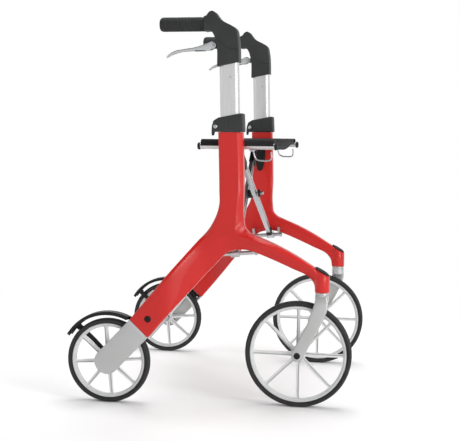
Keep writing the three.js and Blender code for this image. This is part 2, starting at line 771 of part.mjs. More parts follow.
// ---------------------------------------------------------------- brake lever
function brakeLever() {
  const arm = new THREE.Shape();
  arm.moveTo(2, 7);
  arm.lineTo(-4, 12);
  arm.quadraticCurveTo(-26, 0, -52, -5);
  arm.quadraticCurveTo(-74, -8, -86, -10);
  arm.quadraticCurveTo(-98, -14, -112, -24);
  arm.lineTo(-110, -28);
  arm.quadraticCurveTo(-96, -19, -84, -16);
  arm.quadraticCurveTo(-60, -13, -40, -12.5);
  arm.lineTo(-8, -11.5);
  arm.lineTo(2, -7);
  const body = slab(arm, -cheekOuter, cheekOuter);
  const boss = rod(7, -cheekOuter, cheekOuter);
  const room = box(-9, 20, -cheekInner, cheekInner, -30, 30);
  const bore = rod(brakePinRadius + RUNNING, -20, 20);
  return cut(join(body, boss), room, bore);
}

const brakeHub = [brakePivot[0], mastY, brakePivot[1]];
placePair("brake_lever", brakeLever(), steel, brakeHub);

const pinReach = cheekOuter + GAP;
placePair("brake_lever_pin", turned([
  [0, -pinReach - 1.5],
  [4, -pinReach - 1.5],
  [4, -pinReach],
  [brakePinRadius, -pinReach],
  [brakePinRadius, pinReach],
  [4, pinReach],
  [4, pinReach + 1.5],
  [0, pinReach + 1.5],
]), steel, brakeHub);

// ---------------------------------------------------------------- folding cross frame
// Drawn with the fold axis along X and turned by foldLean about the lower rails' line.
const rise = (seatRailZ - lowerRailZ) / cos(foldLean); // from lower rail to seat rail in the folding plane
const tubeAngle = Math.atan2(rise, seatRailY + lowerRailY); // above the horizontal
const pivotRise = lowerRailY * tan(tubeAngle);

function inFoldPlane(geometry) {
  return geometry.rotateY(-foldLean).translate(lowerRailX, 0, lowerRailZ);
}

function foldPoint(along, across, up) {
  return new THREE.Vector3(along, across, up).applyAxisAngle(new THREE.Vector3(0, 1, 0), -foldLean)
    .add(new THREE.Vector3(lowerRailX, 0, lowerRailZ));
}

// The tube from the lower rail at y = -lowerRailY to the seat rail at y = +seatRailY.
function crossTube(offset) {
  const length = Math.hypot(rise, seatRailY + lowerRailY);
  const half = crossLong / 2;
  const section = [
    [-crossThick / 2, -half],
    [crossThick / 2, -half],
    [crossThick / 2, -3],
    [crossThick / 2 - 1.5, -3],
    [crossThick / 2 - 1.5, 3],
    [crossThick / 2, 3],
    [crossThick / 2, half],
    [-crossThick / 2, half],
  ];
  const bar = column(section, 0, length).rotateX(-(PI / 2 - tubeAngle)).translate(0, -lowerRailY, 0);
  const bearingWall = 4;
  const bearing = rodX(lowerRailRadius + bearingWall, -crossThick, crossThick).translate(0, -lowerRailY, 0);
  const bearingBore = rodX(lowerRailRadius + RUNNING, -60, 60).translate(0, -lowerRailY, 0);
  const pivotBore = rodX(crossPivotRadius + RUNNING, -60, 60).translate(0, 0, pivotRise);
  const shape = cut(join(bar, bearing), bearingBore, pivotBore);
  const placed = inFoldPlane(shape.translate(offset, 0, 0));
  const railRoom = rodX(railRadius + GAP, -200, 300).translate(0, seatRailY, seatRailZ);
  const beyond = box(-200, 300, seatRailY, seatRailY + 80, seatRailZ - 60, seatRailZ + 60);
  const seatUnderside = seatRailZ + railRadius;
  const above = box(-200, 300, 0, seatRailY + 80, seatUnderside - 1, seatUnderside + 60);
  return cut(placed, railRoom, beyond, above);
}

place("cross_tube_rear", crossTube(-crossOffset), steel);
place("cross_tube_front", mirrored(crossTube(crossOffset)), steel);

const gapBetween = crossOffset - crossThick / 2;
const spacerRadius = 11;
const spacer = rodX(spacerRadius, -gapBetween + GAP, gapBetween - GAP).translate(0, 0, pivotRise);
const spacerBore = rodX(crossPivotRadius + GAP, -30, 30).translate(0, 0, pivotRise);
place("cross_spacer", inFoldPlane(cut(spacer, spacerBore)), blackPlastic);

const boltReach = crossOffset + crossThick / 2 + GAP;
place("cross_pivot_bolt", inFoldPlane(turned([
  [0, -boltReach - 5],
  [7, -boltReach - 5],
  [7, -boltReach],
  [crossPivotRadius, -boltReach],
  [crossPivotRadius, boltReach],
  [8, boltReach],
  [8, boltReach + 6],
  [4, boltReach + 6],
  [4, boltReach + 14],
  [0, boltReach + 14],
]).rotateZ(-PI / 2).translate(0, 0, pivotRise)), steel);

// The lower rail is held by a lug at each end on the frame's inner face.
function lowerRail() {
  const half = lowerRailLength / 2;
  const frameInnerY = mastY - frameThickness / 2;
  const bar = rodX(lowerRailRadius, -half, half).translate(0, lowerRailY, 0);
  const lug = (x) => box(x - 3, x + 3, lowerRailY - 3, frameInnerY - 1, -4, 20);
  const nut = rodX(lowerRailRadius + 2.5, half - 1, half + 5, 6).translate(0, lowerRailY, 0);
  return inFoldPlane(join(bar, lug(-half + 3), lug(half - 3), nut));
}

placePair("lower_rail", lowerRail(), steel);

// ---------------------------------------------------------------- seat
const railHub = [0, seatRailY, seatRailZ];
placePair("seat_rail", rodX(railRadius, seatRailRearX, seatRailFrontX), silver, railHub);
const capBodies = {
  seat_rail_cap_front: [seatRailFrontX + GAP, seatRailFrontX + capLength],
  seat_rail_cap_rear: [seatRailRearX - capLength, seatRailRearX - GAP],
};
for (const [name, [low, high]] of Object.entries(capBodies)) {
  placePair(name, rodX(capRadius, low, high), blackPlastic, railHub);
}

place("seat_fabric", box(
  seatRailRearX + 2, seatRailFrontX - 2, -seatRailY - railRadius, seatRailY + railRadius,
  seatRailZ + railRadius + GAP, seatRailZ + railRadius + GAP + seatThickness,
), fabric);

// A wire hook under each seat rail's front half, for a bag.
function bagHook() {
  const path = new THREE.CatmullRomCurve3([
    [104, 0], [107, -12], [112, -27], [120, -31], [138, -32], [147, -30], [150, -24], [149, -14],
  ].map(([x, z]) => new THREE.Vector3(x, 0, z - railRadius + 6)), false, "catmullrom", 0.4);
  const section = shapeOf(arcPoints(0, 0, hookWireRadius, 0, 315, 7));
  const wire = new THREE.ExtrudeGeometry(section, { steps: 20, bevelEnabled: false, extrudePath: path });
  const foot = box(97, 111, -3, 3, -railRadius - 4, -railRadius + 3);
  return cut(join(wire, foot), rodX(railRadius + GAP, 80, 170));
}

placePair("bag_hook", bagHook(), steel, railHub);

// The bracket on each mast that the seat rail rests on when the walker is open.
function railSaddle() {
  const shelfX = foldPoint(0, 0, rise).x;
  const frameInnerY = mastY - frameThickness / 2 - GAP;
  const top = seatRailZ - railRadius - GAP;
  const plate = slab([
    [shelfX - 14, top],
    [shelfX - 14, top - 30],
    ...arcPoints(shelfX, top - 58, 8, 190, 350, 6),
    [shelfX + 14, top - 30],
    [shelfX + 14, top],
  ], frameInnerY - 5, frameInnerY);
  const web = slab([
    [shelfX - 4.5, top],
    [shelfX - 4.5, top - 12],
    [shelfX + 4.5, top - 12],
    [shelfX + 4.5, top],
  ], seatRailY - 6, frameInnerY - 2);
  return join(plate, web);
}

placePair("rail_saddle", railSaddle(), blackPlastic);

// ---------------------------------------------------------------- origin
// The part's origin is on the floor, in the middle of its length.
const frontReach = frontAxleX + frontWheelRadius;
const rearReach = -rearAxleX + (guardRadius + guardThickness) * cos(rad(180 - guardTail));
walker.position.x = -(frontReach - Math.max(rearReach, -rearAxleX + rearWheelRadius)) / 2;

export default walker;
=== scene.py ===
"""Folding rollator walker: the looks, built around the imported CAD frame.

Metres in the scene, +X forward, +Y to the left, +Z up. Outlines are drawn in millimetres, with
X = 0 midway between the front and the rear axles, for the left side, and mirrored to the right.
"""

import json
import math

import bmesh
import bpy
from mathutils import Matrix, Vector, geometry


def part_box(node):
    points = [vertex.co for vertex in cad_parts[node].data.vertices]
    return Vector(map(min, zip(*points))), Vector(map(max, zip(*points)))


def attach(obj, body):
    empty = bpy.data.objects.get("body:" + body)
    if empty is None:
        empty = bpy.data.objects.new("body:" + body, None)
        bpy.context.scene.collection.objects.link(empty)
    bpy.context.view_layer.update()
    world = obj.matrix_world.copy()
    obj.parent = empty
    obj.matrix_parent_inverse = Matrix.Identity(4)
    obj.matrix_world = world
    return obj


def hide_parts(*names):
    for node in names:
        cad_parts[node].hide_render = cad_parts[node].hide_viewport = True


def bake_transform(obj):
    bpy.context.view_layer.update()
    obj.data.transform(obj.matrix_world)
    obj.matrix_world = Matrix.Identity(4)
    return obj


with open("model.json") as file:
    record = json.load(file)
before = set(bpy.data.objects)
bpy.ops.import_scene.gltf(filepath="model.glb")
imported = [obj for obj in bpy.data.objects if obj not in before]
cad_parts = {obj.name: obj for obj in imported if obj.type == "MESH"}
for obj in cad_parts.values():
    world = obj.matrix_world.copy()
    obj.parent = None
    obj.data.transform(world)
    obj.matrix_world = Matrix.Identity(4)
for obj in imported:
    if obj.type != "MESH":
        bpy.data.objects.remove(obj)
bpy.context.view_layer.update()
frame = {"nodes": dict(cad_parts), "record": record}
NODES = frame["nodes"]
SIDES = {"left": 1, "right": -1}
MM = 0.001


def box_mm(node):
    """A CAD node's lowest and highest corner in the drawing's millimetres."""
    low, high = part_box(node)
    return ([(low[0] - MIDDLE_X) / MM, low[1] / MM, low[2] / MM],
            [(high[0] - MIDDLE_X) / MM, high[1] / MM, high[2] / MM])


def centre_mm(node):
    low, high = box_mm(node)
    return [(a + b) / 2 for a, b in zip(low, high)]


def middle_x(node):
    low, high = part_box(node)
    return (low[0] + high[0]) / 2


MIDDLE_X = (middle_x("left_front_tyre") + middle_x("left_rear_tyre")) / 2

# ---------------------------------------------------------------- sizes that the shapes share
FRONT_AXLE_X, FRONT_WHEEL_Y, FRONT_RADIUS = centre_mm("left_front_tyre")
REAR_AXLE_X, REAR_WHEEL_Y, REAR_RADIUS = centre_mm("left_rear_tyre")
TYRE_WIDTH = 22
TYRE_DEPTH = 11
HEAD_X, HEAD_Y, _ = centre_mm("left_head_cap")
HEAD_RADIUS = 17
HEAD_BOTTOM_Z = 273.3
HEAD_HEIGHT = 46
HEAD_SLOPE = -0.583
CROWN_BOTTOM_Z = 2 * FRONT_RADIUS + 1
MAST_Y = centre_mm("left_handle_tube")[1]
MAST_TOP_Z = 640
TUBE_LONG, TUBE_WIDE = 46, 24
TUBE_LEAN = math.radians(1.5)
TUBE_MIDDLE_X = 58
CROTCH_Z = 365
FRAME_THICKNESS = 32
LEG_END_THICKNESS = 24
LEG_END_RADIUS = REAR_RADIUS + 17.5
LEG_END_Y = REAR_WHEEL_Y + TYRE_WIDTH / 2 - 1
GRIP_Z = centre_mm("left_grip")[2]
SEAT_RAIL_Y = centre_mm("left_seat_rail")[1]
SEAT_RAIL_Z = centre_mm("left_seat_rail")[2]

# ---------------------------------------------------------------- camera, light and floor
def mapped(tree, value, low, high, to_low=0.0, to_high=1.0):
    """A Map Range node that takes a value from low..high to to_low..to_high."""
    made = tree.nodes.new("ShaderNodeMapRange")
    settings = {"From Min": low, "From Max": high, "To Min": to_low, "To Max": to_high}
    for socket, setting in settings.items():
        made.inputs[socket].default_value = setting
    tree.links.new(value, made.inputs["Value"])
    return made


def make_camera():
    azimuth, elevation, roll = math.radians(10.578), math.radians(5.133), math.radians(0.527)
    place = Vector((0.4711, -2.5128, 0.6425))
    look = Vector((-math.sin(azimuth) * math.cos(elevation), math.cos(azimuth) * math.cos(elevation),
                   -math.sin(elevation)))
    level = Vector((math.cos(azimuth), math.sin(azimuth), 0))
    upright = level.cross(look)
    right = math.cos(roll) * level + math.sin(roll) * upright
    up = -math.sin(roll) * level + math.cos(roll) * upright
    data = bpy.data.cameras.new("camera")
    data.sensor_width = 36
    data.lens = 77.88
    camera = bpy.data.objects.new("camera", data)
    turn = Matrix((right, up, -look)).transposed()
    camera.matrix_world = Matrix.Translation(place) @ turn.to_4x4()
    bpy.context.collection.objects.link(camera)
    bpy.context.scene.camera = camera


def area_light(name, place, target, size, power):
    data = bpy.data.lights.new(name, "AREA")
    data.shape = "RECTANGLE"
    data.size, data.size_y = size
    data.energy = power
    light = bpy.data.objects.new(name, data)
    light.location = place
    light.rotation_euler = (Vector(target) - Vector(place)).to_track_quat("-Z", "Y").to_euler()
    bpy.context.collection.objects.link(light)


def make_stage():
    """A white studio: brighter towards the horizon than overhead, with soft lamps and a pale floor."""
    bpy.context.scene.view_settings.view_transform = "Standard"
    world = bpy.data.worlds.new("studio")
    world.use_nodes = True
    tree = world.node_tree
    direction = tree.nodes.new("ShaderNodeTexCoord").outputs["Generated"]
    split = tree.nodes.new("ShaderNodeSeparateXYZ")
    tree.links.new(direction, split.inputs["Vector"])
    overhead = mapped(tree, split.outputs["Z"], 0.15, 0.5, 1.0, 0.25)
    sky = tree.nodes["Background"]
    sky.inputs["Color"].default_value = (1.0, 1.0, 1.0, 1)
    behind = mapped(tree, split.outputs["X"], -0.98, -0.5, 0.85, 1.0)
    product = tree.nodes.new("ShaderNodeMath")
    product.operation = "MULTIPLY"
    tree.links.new(overhead.outputs["Result"], product.inputs[0])
    tree.links.new(behind.outputs["Result"], product.inputs[1])
    tree.links.new(product.outputs["Value"], sky.inputs["Strength"])
    bpy.context.scene.world = world
    middle = (0, 0, 0.45)
    area_light("key", (2.6, -1.6, 1.9), middle, (1.2, 1.2), 38)
    area_light("low", (2.5, -2.0, 0.3), middle, (1.6, 0.4), 18)
    area_light("side", (-2.7, -0.9, 1.9), middle, (1.0, 1.4), 9)
    area_light("top", (0.1, 0.3, 3.0), middle, (2.0, 1.6), 52)
    area_light("back", (-1.2, 2.8, 1.9), middle, (2.0, 1.6), 34)
    floor_mesh = bpy.data.meshes.new("floor")
    reach = 14
    floor_mesh.from_pydata([(-reach, -reach, 0), (reach, -reach, 0), (reach, reach, 0),
                            (-reach, reach, 0)],
                           [], [(0, 1, 2, 3)])
    floor = bpy.data.objects.new("floor", floor_mesh)
    bpy.context.collection.objects.link(floor)
    look = bpy.data.materials.new("floor")
    look.use_nodes = True
    nodes, links = look.node_tree.nodes, look.node_tree.links
    shader = nodes["Principled BSDF"]
    shader.inputs["Base Color"].default_value = (0.95, 0.95, 0.95, 1)
    shader.inputs["Roughness"].default_value = 1.0
    shader.inputs["Specular IOR Level"].default_value = 0.0
    # away from the object the floor turns into an evenly lit white sweep
    away = nodes.new("ShaderNodeVectorMath")
    away.operation = "LENGTH"
    fade = mapped(look.node_tree, away.outputs["Value"], 0.5, 1.6)
    fade.interpolation_type = "SMOOTHSTEP"
    glow = nodes.new("ShaderNodeEmission")
    blend = nodes.new("ShaderNodeMixShader")
    links.new(nodes.new("ShaderNodeTexCoord").outputs["Object"], away.inputs[0])
    links.new(fade.outputs["Result"], blend.inputs["Fac"])
    links.new(shader.outputs["BSDF"], blend.inputs[1])
    links.new(glow.outputs["Emission"], blend.inputs[2])
    links.new(blend.outputs["Shader"], nodes["Material Output"].inputs["Surface"])
    floor_mesh.materials.append(look)


make_camera()
make_stage()


# ---------------------------------------------------------------- materials
class Look:
    """One procedural material: a Principled shader with a colour chain and a height chain."""

    def __init__(self, name, roughness, metallic=0.0, specular=0.5, coat=0.0, coat_roughness=0.1,
                 sheen=0.0):
        self.material = bpy.data.materials.new(name)
        self.material.use_nodes = True
        self.tree = self.material.node_tree
        self.shader = self.tree.nodes["Principled BSDF"]
        settings = {
            "Roughness": roughness, "Metallic": metallic, "Specular IOR Level": specular,
            "Coat Weight": coat, "Coat Roughness": coat_roughness, "Sheen Weight": sheen,
        }
        for socket, value in settings.items():
            self.shader.inputs[socket].default_value = value
        coordinates = self.tree.nodes.new("ShaderNodeTexCoord").outputs
        self.place, self.cut = coordinates["Object"], coordinates["UV"]
        self.height = None

    def node(self, kind, **settings):
        made = self.tree.nodes.new(kind)
        for key, value in settings.items():
            if key in made.inputs:
                made.inputs[key].default_value = value
            else:
                setattr(made, key, value)
        return made

    def link(self, output, socket):
        self.tree.links.new(output, socket)

    def stretched(self, scale):
        """Object coordinates, scaled per axis, for streaks."""
        mapping = self.node("ShaderNodeMapping")
        mapping.inputs["Scale"].default_value = scale
        self.link(self.place, mapping.inputs["Vector"])
        return mapping.outputs["Vector"]

    def noise(self, scale, detail=3.0, roughness=0.55, vector=None):
        made = self.node("ShaderNodeTexNoise", Scale=scale, Detail=detail, Roughness=roughness)
        self.link(vector or self.place, made.inputs["Vector"])
        return made.outputs["Fac"]

    def ramp(self, value, stops):
        made = self.node("ShaderNodeValToRGB")
        ramp = made.color_ramp
        while len(ramp.elements) < len(stops):
            ramp.elements.new(0.5)
        for element, (at, color) in zip(ramp.elements, stops):
            element.position = at
            element.color = (*color, 1) if len(color) == 3 else color
        self.link(value, made.inputs["Fac"])
        return made.outputs["Color"]

    def mix(self, factor, a, b, blend="MIX"):
        made = self.node("ShaderNodeMix", data_type="RGBA", blend_type=blend)
        if isinstance(factor, (int, float)):
            made.inputs[0].default_value = factor
        else:
            self.link(factor, made.inputs[0])
        for socket, value in ((made.inputs[6], a), (made.inputs[7], b)):
            if isinstance(value, tuple):
                socket.default_value = (*value, 1)
            else:
                self.link(value, socket)
        return made.outputs[2]

    def color(self, value):
        if isinstance(value, tuple):
            self.shader.inputs["Base Color"].default_value = (*value, 1)
        else:
            self.link(value, self.shader.inputs["Base Color"])
        return self

    def roughness(self, value, low, high):
        spread = mapped(self.tree, value, 0.0, 1.0, low, high)
        self.link(spread.outputs["Result"], self.shader.inputs["Roughness"])
        return self

    def bump(self, value, strength, distance):
        made = self.node("ShaderNodeBump", Strength=strength, Distance=distance)
        self.link(value, made.inputs["Height"])
        if self.height:
            self.link(self.height, made.inputs["Normal"])
        self.height = made.outputs["Normal"]
        self.link(self.height, self.shader.inputs["Normal"])
        return self

    def math(self, operation, a, b):
        made = self.node("ShaderNodeMath", operation=operation)
        for socket, value in zip(made.inputs, (a, b)):
            if isinstance(value, (int, float)):
                socket.default_value = value
            else:
                self.link(value, socket)
        return made.outputs["Value"]

    def stitches(self, at, half_width, rate):
        """Two dashed seams along the cloth, that far from its middle on the flat cut, in metres."""
        split = self.node("ShaderNodeSeparateXYZ")
        self.link(self.cut, split.inputs["Vector"])
        away = self.math("ABSOLUTE", split.outputs["Y"], 0)
        near = self.math("LESS_THAN", self.math("ABSOLUTE", self.math("SUBTRACT", away, at), 0),
                         half_width)
        dash = self.math("GREATER_THAN", self.math("SINE", self.math("MULTIPLY", split.outputs["X"],
                                                                     rate), 0), -0.3)
        return self.math("MULTIPLY", near, dash)

    def edges(self, low=0.5, high=0.62):
        """A mask of the sharp convex edges, from how sharply the surface is curved, where a highlight is
        painted.
        """
        pointiness = self.node("ShaderNodeNewGeometry").outputs["Pointiness"]
        return mapped(self.tree, pointiness, low, high).outputs["Result"]


def red_paint():
    look = Look("red_paint", roughness=0.36, specular=0.3, coat=0.22, coat_roughness=0.15)
    tone = look.ramp(look.noise(7, 2), [(0.3, (0.53, 0.008, 0.005)), (0.7, (0.58, 0.011, 0.007))])
    flake = look.ramp(look.noise(2600, 1), [(0.35, (0.82, 0.80, 0.80)), (0.75, (1.0, 1.0, 1.0))])
    look.color(look.mix(0.35, tone, flake, "MULTIPLY"))
    look.roughness(look.noise(40, 4), 0.33, 0.43)
    return look.bump(look.noise(900, 2), 0.05, 0.0004).material


def silver_tube():
    look = Look("silver_tube", roughness=0.32, metallic=0.85, specular=0.5)
    streak = look.noise(1.0, 5, 0.6, look.stretched((900, 900, 12)))
    look.color(look.ramp(streak, [(0.3, (0.55, 0.55, 0.55)), (0.7, (0.68, 0.68, 0.68))]))
    look.roughness(streak, 0.28, 0.42)
    return look.bump(streak, 0.08, 0.0002).material


def silver_paint():
    look = Look("silver_paint", roughness=0.42, metallic=0.45, specular=0.5, coat=0.15,
                coat_roughness=0.2)
    flake = look.noise(3000, 1)
    tone = look.ramp(flake, [(0.35, (0.44, 0.445, 0.44)), (0.65, (0.56, 0.565, 0.56))])
    cloud = look.ramp(look.noise(9, 2), [(0.3, (0.88, 0.88, 0.88)), (0.7, (1, 1, 1))])
    look.color(look.mix(1.0, tone, cloud, "MULTIPLY"))
    look.roughness(look.noise(60, 4), 0.38, 0.50)
    return look.bump(look.noise(1200, 2), 0.06, 0.0003).material


def bright_metal():
    look = Look("bright_metal", roughness=0.30, metallic=0.85, specular=0.5)
    grain = look.noise(1.0, 4, 0.5, look.stretched((500, 40, 500)))
    look.color(look.ramp(grain, [(0.25, (0.47, 0.48, 0.49)), (0.75, (0.54, 0.55, 0.56))]))
    look.roughness(grain, 0.27, 0.36)
    return look.bump(grain, 0.04, 0.0002).material


def steel():
    look = Look("steel", roughness=0.28, metallic=0.9)
    grain = look.noise(400, 4, 0.45)
    look.color(look.ramp(grain, [(0.25, (0.41, 0.42, 0.44)), (0.75, (0.48, 0.49, 0.51))]))
    look.roughness(grain, 0.24, 0.34)
    return look.bump(grain, 0.03, 0.0002).material


def plastic(name, dark, light, grain_scale, rough=(0.5, 0.62), edge_highlight=(0.10, 0.10, 0.105), specular=0.4):
    look = Look(name, roughness=rough[0], specular=specular)
    tone = look.ramp(look.noise(30, 3), [(0.3, dark), (0.7, light)])
    # convex edges are lightened to the edge colour: a painted highlight along the edges
    look.color(look.mix(look.edges(0.53, 0.66), tone, edge_highlight))
    grain = look.noise(grain_scale, 3)
    look.roughness(grain, *rough)
    return look.bump(grain, 0.25, 0.0003).material


def rubber(name, dark, light):
    look = Look(name, roughness=0.75, specular=0.3)
    dust = look.noise(24, 5, 0.65)
    look.color(look.ramp(dust, [(0.35, dark), (0.75, light)]))
    look.roughness(dust, 0.62, 0.85)
    return look.bump(look.noise(1500, 3), 0.3, 0.0003).material


def fabric():
    look = Look("fabric", roughness=0.9, specular=0.1, sheen=0.04)
    warp = look.node("ShaderNodeTexWave", Scale=520.0, bands_direction="X")
    weft = look.node("ShaderNodeTexWave", Scale=520.0, bands_direction="Y")
    for wave in (warp, weft):
        look.link(look.cut, wave.inputs["Vector"])
    weave = look.mix(0.5, warp.outputs["Color"], weft.outputs["Color"], "MULTIPLY")
    thread = look.ramp(weave, [(0.0, (0.010, 0.010, 0.011)), (1.0, (0.050, 0.050, 0.053))])
    cloud = look.ramp(look.noise(14, 4), [(0.3, (0.75, 0.75, 0.75)), (0.7, (1, 1, 1))])
    cloth = look.mix(1.0, thread, cloud, "MULTIPLY")
    stitches = look.stitches(0.186, 0.0007, 1100.0)
    look.color(look.mix(stitches, cloth, (0.16, 0.16, 0.165)))
    look.bump(weave, 0.5, 0.0004)
    return look.bump(stitches, 0.6, 0.0006).material


LOOKS = {
    "red_paint": red_paint(),
    "silver_tube": silver_tube(),
    "silver_paint": silver_paint(),
    "bright_metal": bright_metal(),
    "steel": steel(),
    # the last colour given to each plastic is the painted highlight on its convex edges
    "dark_plastic": plastic("dark_plastic", (0.018, 0.019, 0.019), (0.025, 0.026, 0.026), 1800,
                            edge_highlight=(0.05, 0.05, 0.052)),
    "black_plastic": plastic("black_plastic", (0.006, 0.006, 0.006), (0.011, 0.011, 0.012), 1500,
                             edge_highlight=(0.02, 0.02, 0.021), specular=0.25),
    "grey_plastic": plastic("grey_plastic", (0.56, 0.565, 0.57), (0.62, 0.625, 0.63), 1200, (0.42, 0.55),
                            edge_highlight=(0.78, 0.78, 0.785)),
    "rubber": rubber("rubber", (0.016, 0.017, 0.017), (0.030, 0.031, 0.031)),
    "tyre": rubber("tyre", (0.020, 0.020, 0.021), (0.036, 0.036, 0.035)),
    "fabric": fabric(),
}
SLOT_OF = {part["node"]: part["material_slot"] for part in frame["record"]["subparts"]}
BODY_OF = {node: body for body, nodes in frame["record"]["behaviour"]["bodies"].items() for node in nodes}


# ---------------------------------------------------------------- mesh tools
def loft(rings, capped=True, looped=False, closed=True):
    """Joins rings of points, each with the same number of points, into one skin."""
    count = len(rings[0])
    verts = [tuple(point) for ring in rings for point in ring]
    faces = []
    for i in range(len(rings) if looped else len(rings) - 1):
        a, b = i * count, ((i + 1) % len(rings)) * count
        for j in range(count if closed else count - 1):
            k = (j + 1) % count
            faces.append((a + j, a + k, b + k, b + j))
    if capped and not looped:
        faces.append(tuple(reversed(range(count))))
        faces.append(tuple(range(len(verts) - count, len(verts))))
    return verts, faces


def lathe(profile, steps=96, looped=False):
    """Turns a profile of (radius, along) points round the Y axis."""
    rings = []
    for radius, along in profile:
        turn = [2 * math.pi * i / steps for i in range(steps)]
        rings.append([(radius * math.cos(a), along, radius * math.sin(a)) for a in turn])
    return loft(rings, capped=True, looped=looped)


def slab(outline, low, high):
    """A closed outline of (x, z) points, from y = low to y = high."""
    return loft([[(x, low, z) for x, z in outline], [(x, high, z) for x, z in outline]])


def column(outline, low, high):
    """A closed outline of (x, y) points, from z = low to z = high."""
    return loft([[(x, y, low) for x, y in outline], [(x, y, high) for x, y in outline]])


def moved(part, by):
    verts, faces = part
    return [tuple(a + b for a, b in zip(vert, by)) for vert in verts], faces


def turned(part, axis, angle):
    verts, faces = part
    matrix = Matrix.Rotation(angle, 3, axis)
    return [tuple(matrix @ Vector(vert)) for vert in verts], faces


def arc(x, z, radius, start, end, steps):
    """Points of (x, z) on an arc, from start to end degrees."""
    spread = [math.radians(start + (end - start) * i / steps) for i in range(steps + 1)]
    return [(x + radius * math.cos(a), z + radius * math.sin(a)) for a in spread]


def oval(long, wide, steps=10):
    half, radius = (long - wide) / 2, wide / 2
    return arc(half, 0, radius, -90, 90, steps) + arc(-half, 0, radius, 90, 270, steps)


def rounded_box(half_a, half_b, radius, steps=4):
    """A rectangle of (a, b) points with round corners."""
    radius = min(radius, half_a, half_b)
    points = []
    for turn, (sa, sb) in enumerate(((1, 1), (-1, 1), (-1, -1), (1, -1))):
        points += arc(sa * (half_a - radius), sb * (half_b - radius), radius, 90 * turn, 90 * turn + 90,
                      steps)
    return points


def smooth_line(points, spacing, corners=()):
    """A closed line of equal-length tuples, curved through its points and straight between corners."""
    count = len(points)
    rows = [Vector(point) for point in points]
    lengths = [max((rows[(i + 1) % count] - rows[i]).length, 1e-6) for i in range(count)]

    def tangent(i, outgoing):
        before, after = lengths[i - 1], lengths[i]
        back = (rows[i] - rows[i - 1]) / before
        ahead = (rows[(i + 1) % count] - rows[i]) / after
        if i in corners:
            return ahead if outgoing else back
        return (back * after + ahead * before) / (before + after)

    dense = []
    for i in range(count):
        j = (i + 1) % count
        steps = 1 if i in corners and j in corners else max(1, round(lengths[i] / spacing))
        start, end = tangent(i, True) * lengths[i], tangent(j, False) * lengths[i]
        for k in range(steps):
            t = k / steps
            dense.append(rows[i] * (2 * t**3 - 3 * t**2 + 1) + start * (t**3 - 2 * t**2 + t)
                         + rows[j] * (3 * t**2 - 2 * t**3) + end * (t**3 - t**2))
    return dense


def open_line(points, steps):
    """Points on a curve through the given points, ends included."""
    last = len(points) - 1
    rows = [Vector(point) for point in points]
    slopes = [(rows[min(i + 1, last)] - rows[max(i - 1, 0)]) / (2 if 0 < i < last else 1)
              for i in range(last + 1)]
    dense = []
    for i in range(last):
        for k in range(steps):
            t = k / steps
            dense.append(rows[i] * (2 * t**3 - 3 * t**2 + 1) + slopes[i] * (t**3 - 2 * t**2 + t)
                         + rows[i + 1] * (3 * t**2 - 2 * t**3) + slopes[i + 1] * (t**3 - t**2))
    return dense + [rows[last]]


def sweep(path, section):
    """Carries a section of (across, up) points along a path; across stays as close to +Y as it can."""
    rings = []
    for i, point in enumerate(path):
        ahead = (path[min(i + 1, len(path) - 1)] - path[max(i - 1, 0)]).normalized()
        up = ahead.cross(Vector((0, 1, 0))).normalized()
        across = up.cross(ahead).normalized()
        rings.append([tuple(point + across * a + up * b) for a, b in section])
    return loft(rings)


def circle(radius, steps=16):
    return arc(0, 0, radius, 0, 360 - 360 / steps, steps - 1)


def bevel_edges(bm, width, segments, sharper_than):
    edges = [edge for edge in bm.edges
             if len(edge.link_faces) == 2 and edge.calc_face_angle(0) > math.radians(sharper_than)]
    if edges and width:
        bmesh.ops.bevel(bm, geom=edges, offset=width, segments=segments, profile=0.5, affect="EDGES",
                        clamp_overlap=True)


def finish_mesh(bm, name, look, smooth):
    bmesh.ops.recalc_face_normals(bm, faces=bm.faces)
    mesh = bpy.data.meshes.new(name)
    bm.to_mesh(mesh)
    bm.free()
    mesh.polygons.foreach_set("use_smooth", [True] * len(mesh.polygons))
    mesh.set_sharp_from_angle(angle=math.radians(smooth))
    mesh.materials.append(LOOKS[look])
    made = bpy.data.objects.new(name, mesh)
    bpy.context.collection.objects.link(made)
    return made


def solid(name, parts, look, side=1, bevel=0.0, segments=3, sharper_than=40, smooth=30, weld=0.0):
    """One object from parts in the drawing's millimetres; side -1 mirrors it to the right."""
    bm = bmesh.new()
    for verts, faces in parts:
        made = [bm.verts.new((x * MM + MIDDLE_X, y * MM * side, z * MM)) for x, y, z in verts]
        for face in faces:
            bm.faces.new([made[i] for i in face])
    if weld:
        bmesh.ops.remove_doubles(bm, verts=bm.verts, dist=weld * MM)
        bmesh.ops.holes_fill(bm, edges=[edge for edge in bm.edges if edge.is_boundary], sides=12)
    bmesh.ops.recalc_face_normals(bm, faces=bm.faces)
    bevel_edges(bm, bevel * MM, segments, sharper_than)
    return finish_mesh(bm, name, look, smooth)


def dress(made, body, nodes=()):
    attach(made, body)
    if nodes:
        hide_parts(*nodes)
    return made


def pair(name, parts, look, stands_for=None, rides_with=None, **shape):
    """The same piece on both sides; it stands for one CAD node or rides with one."""
    made = {}
    for side, sign in SIDES.items():
        node = f"{side}_{stands_for or rides_with}"
        piece = solid(f"{side}_{name}", parts, look, side=sign, **shape)
        made[side] = dress(piece, BODY_OF[node], [node] if stands_for else ())
    return made


def refined(node, bevel, smooth=32):
    """The CAD node's own shape with its edges rounded."""
    source, look = NODES[node], SLOT_OF[node]
    bm = bmesh.new()
    bm.from_mesh(source.data)
    bmesh.ops.transform(bm, matrix=source.matrix_world, verts=bm.verts)
    bmesh.ops.remove_doubles(bm, verts=bm.verts, dist=0.00002)
    bmesh.ops.dissolve_limit(bm, angle_limit=math.radians(1.5), verts=bm.verts, edges=bm.edges)
    bevel_edges(bm, bevel * MM, segments=3, sharper_than=32)
    dress(finish_mesh(bm, f"fine_{node}", look, smooth), BODY_OF[node], [node])


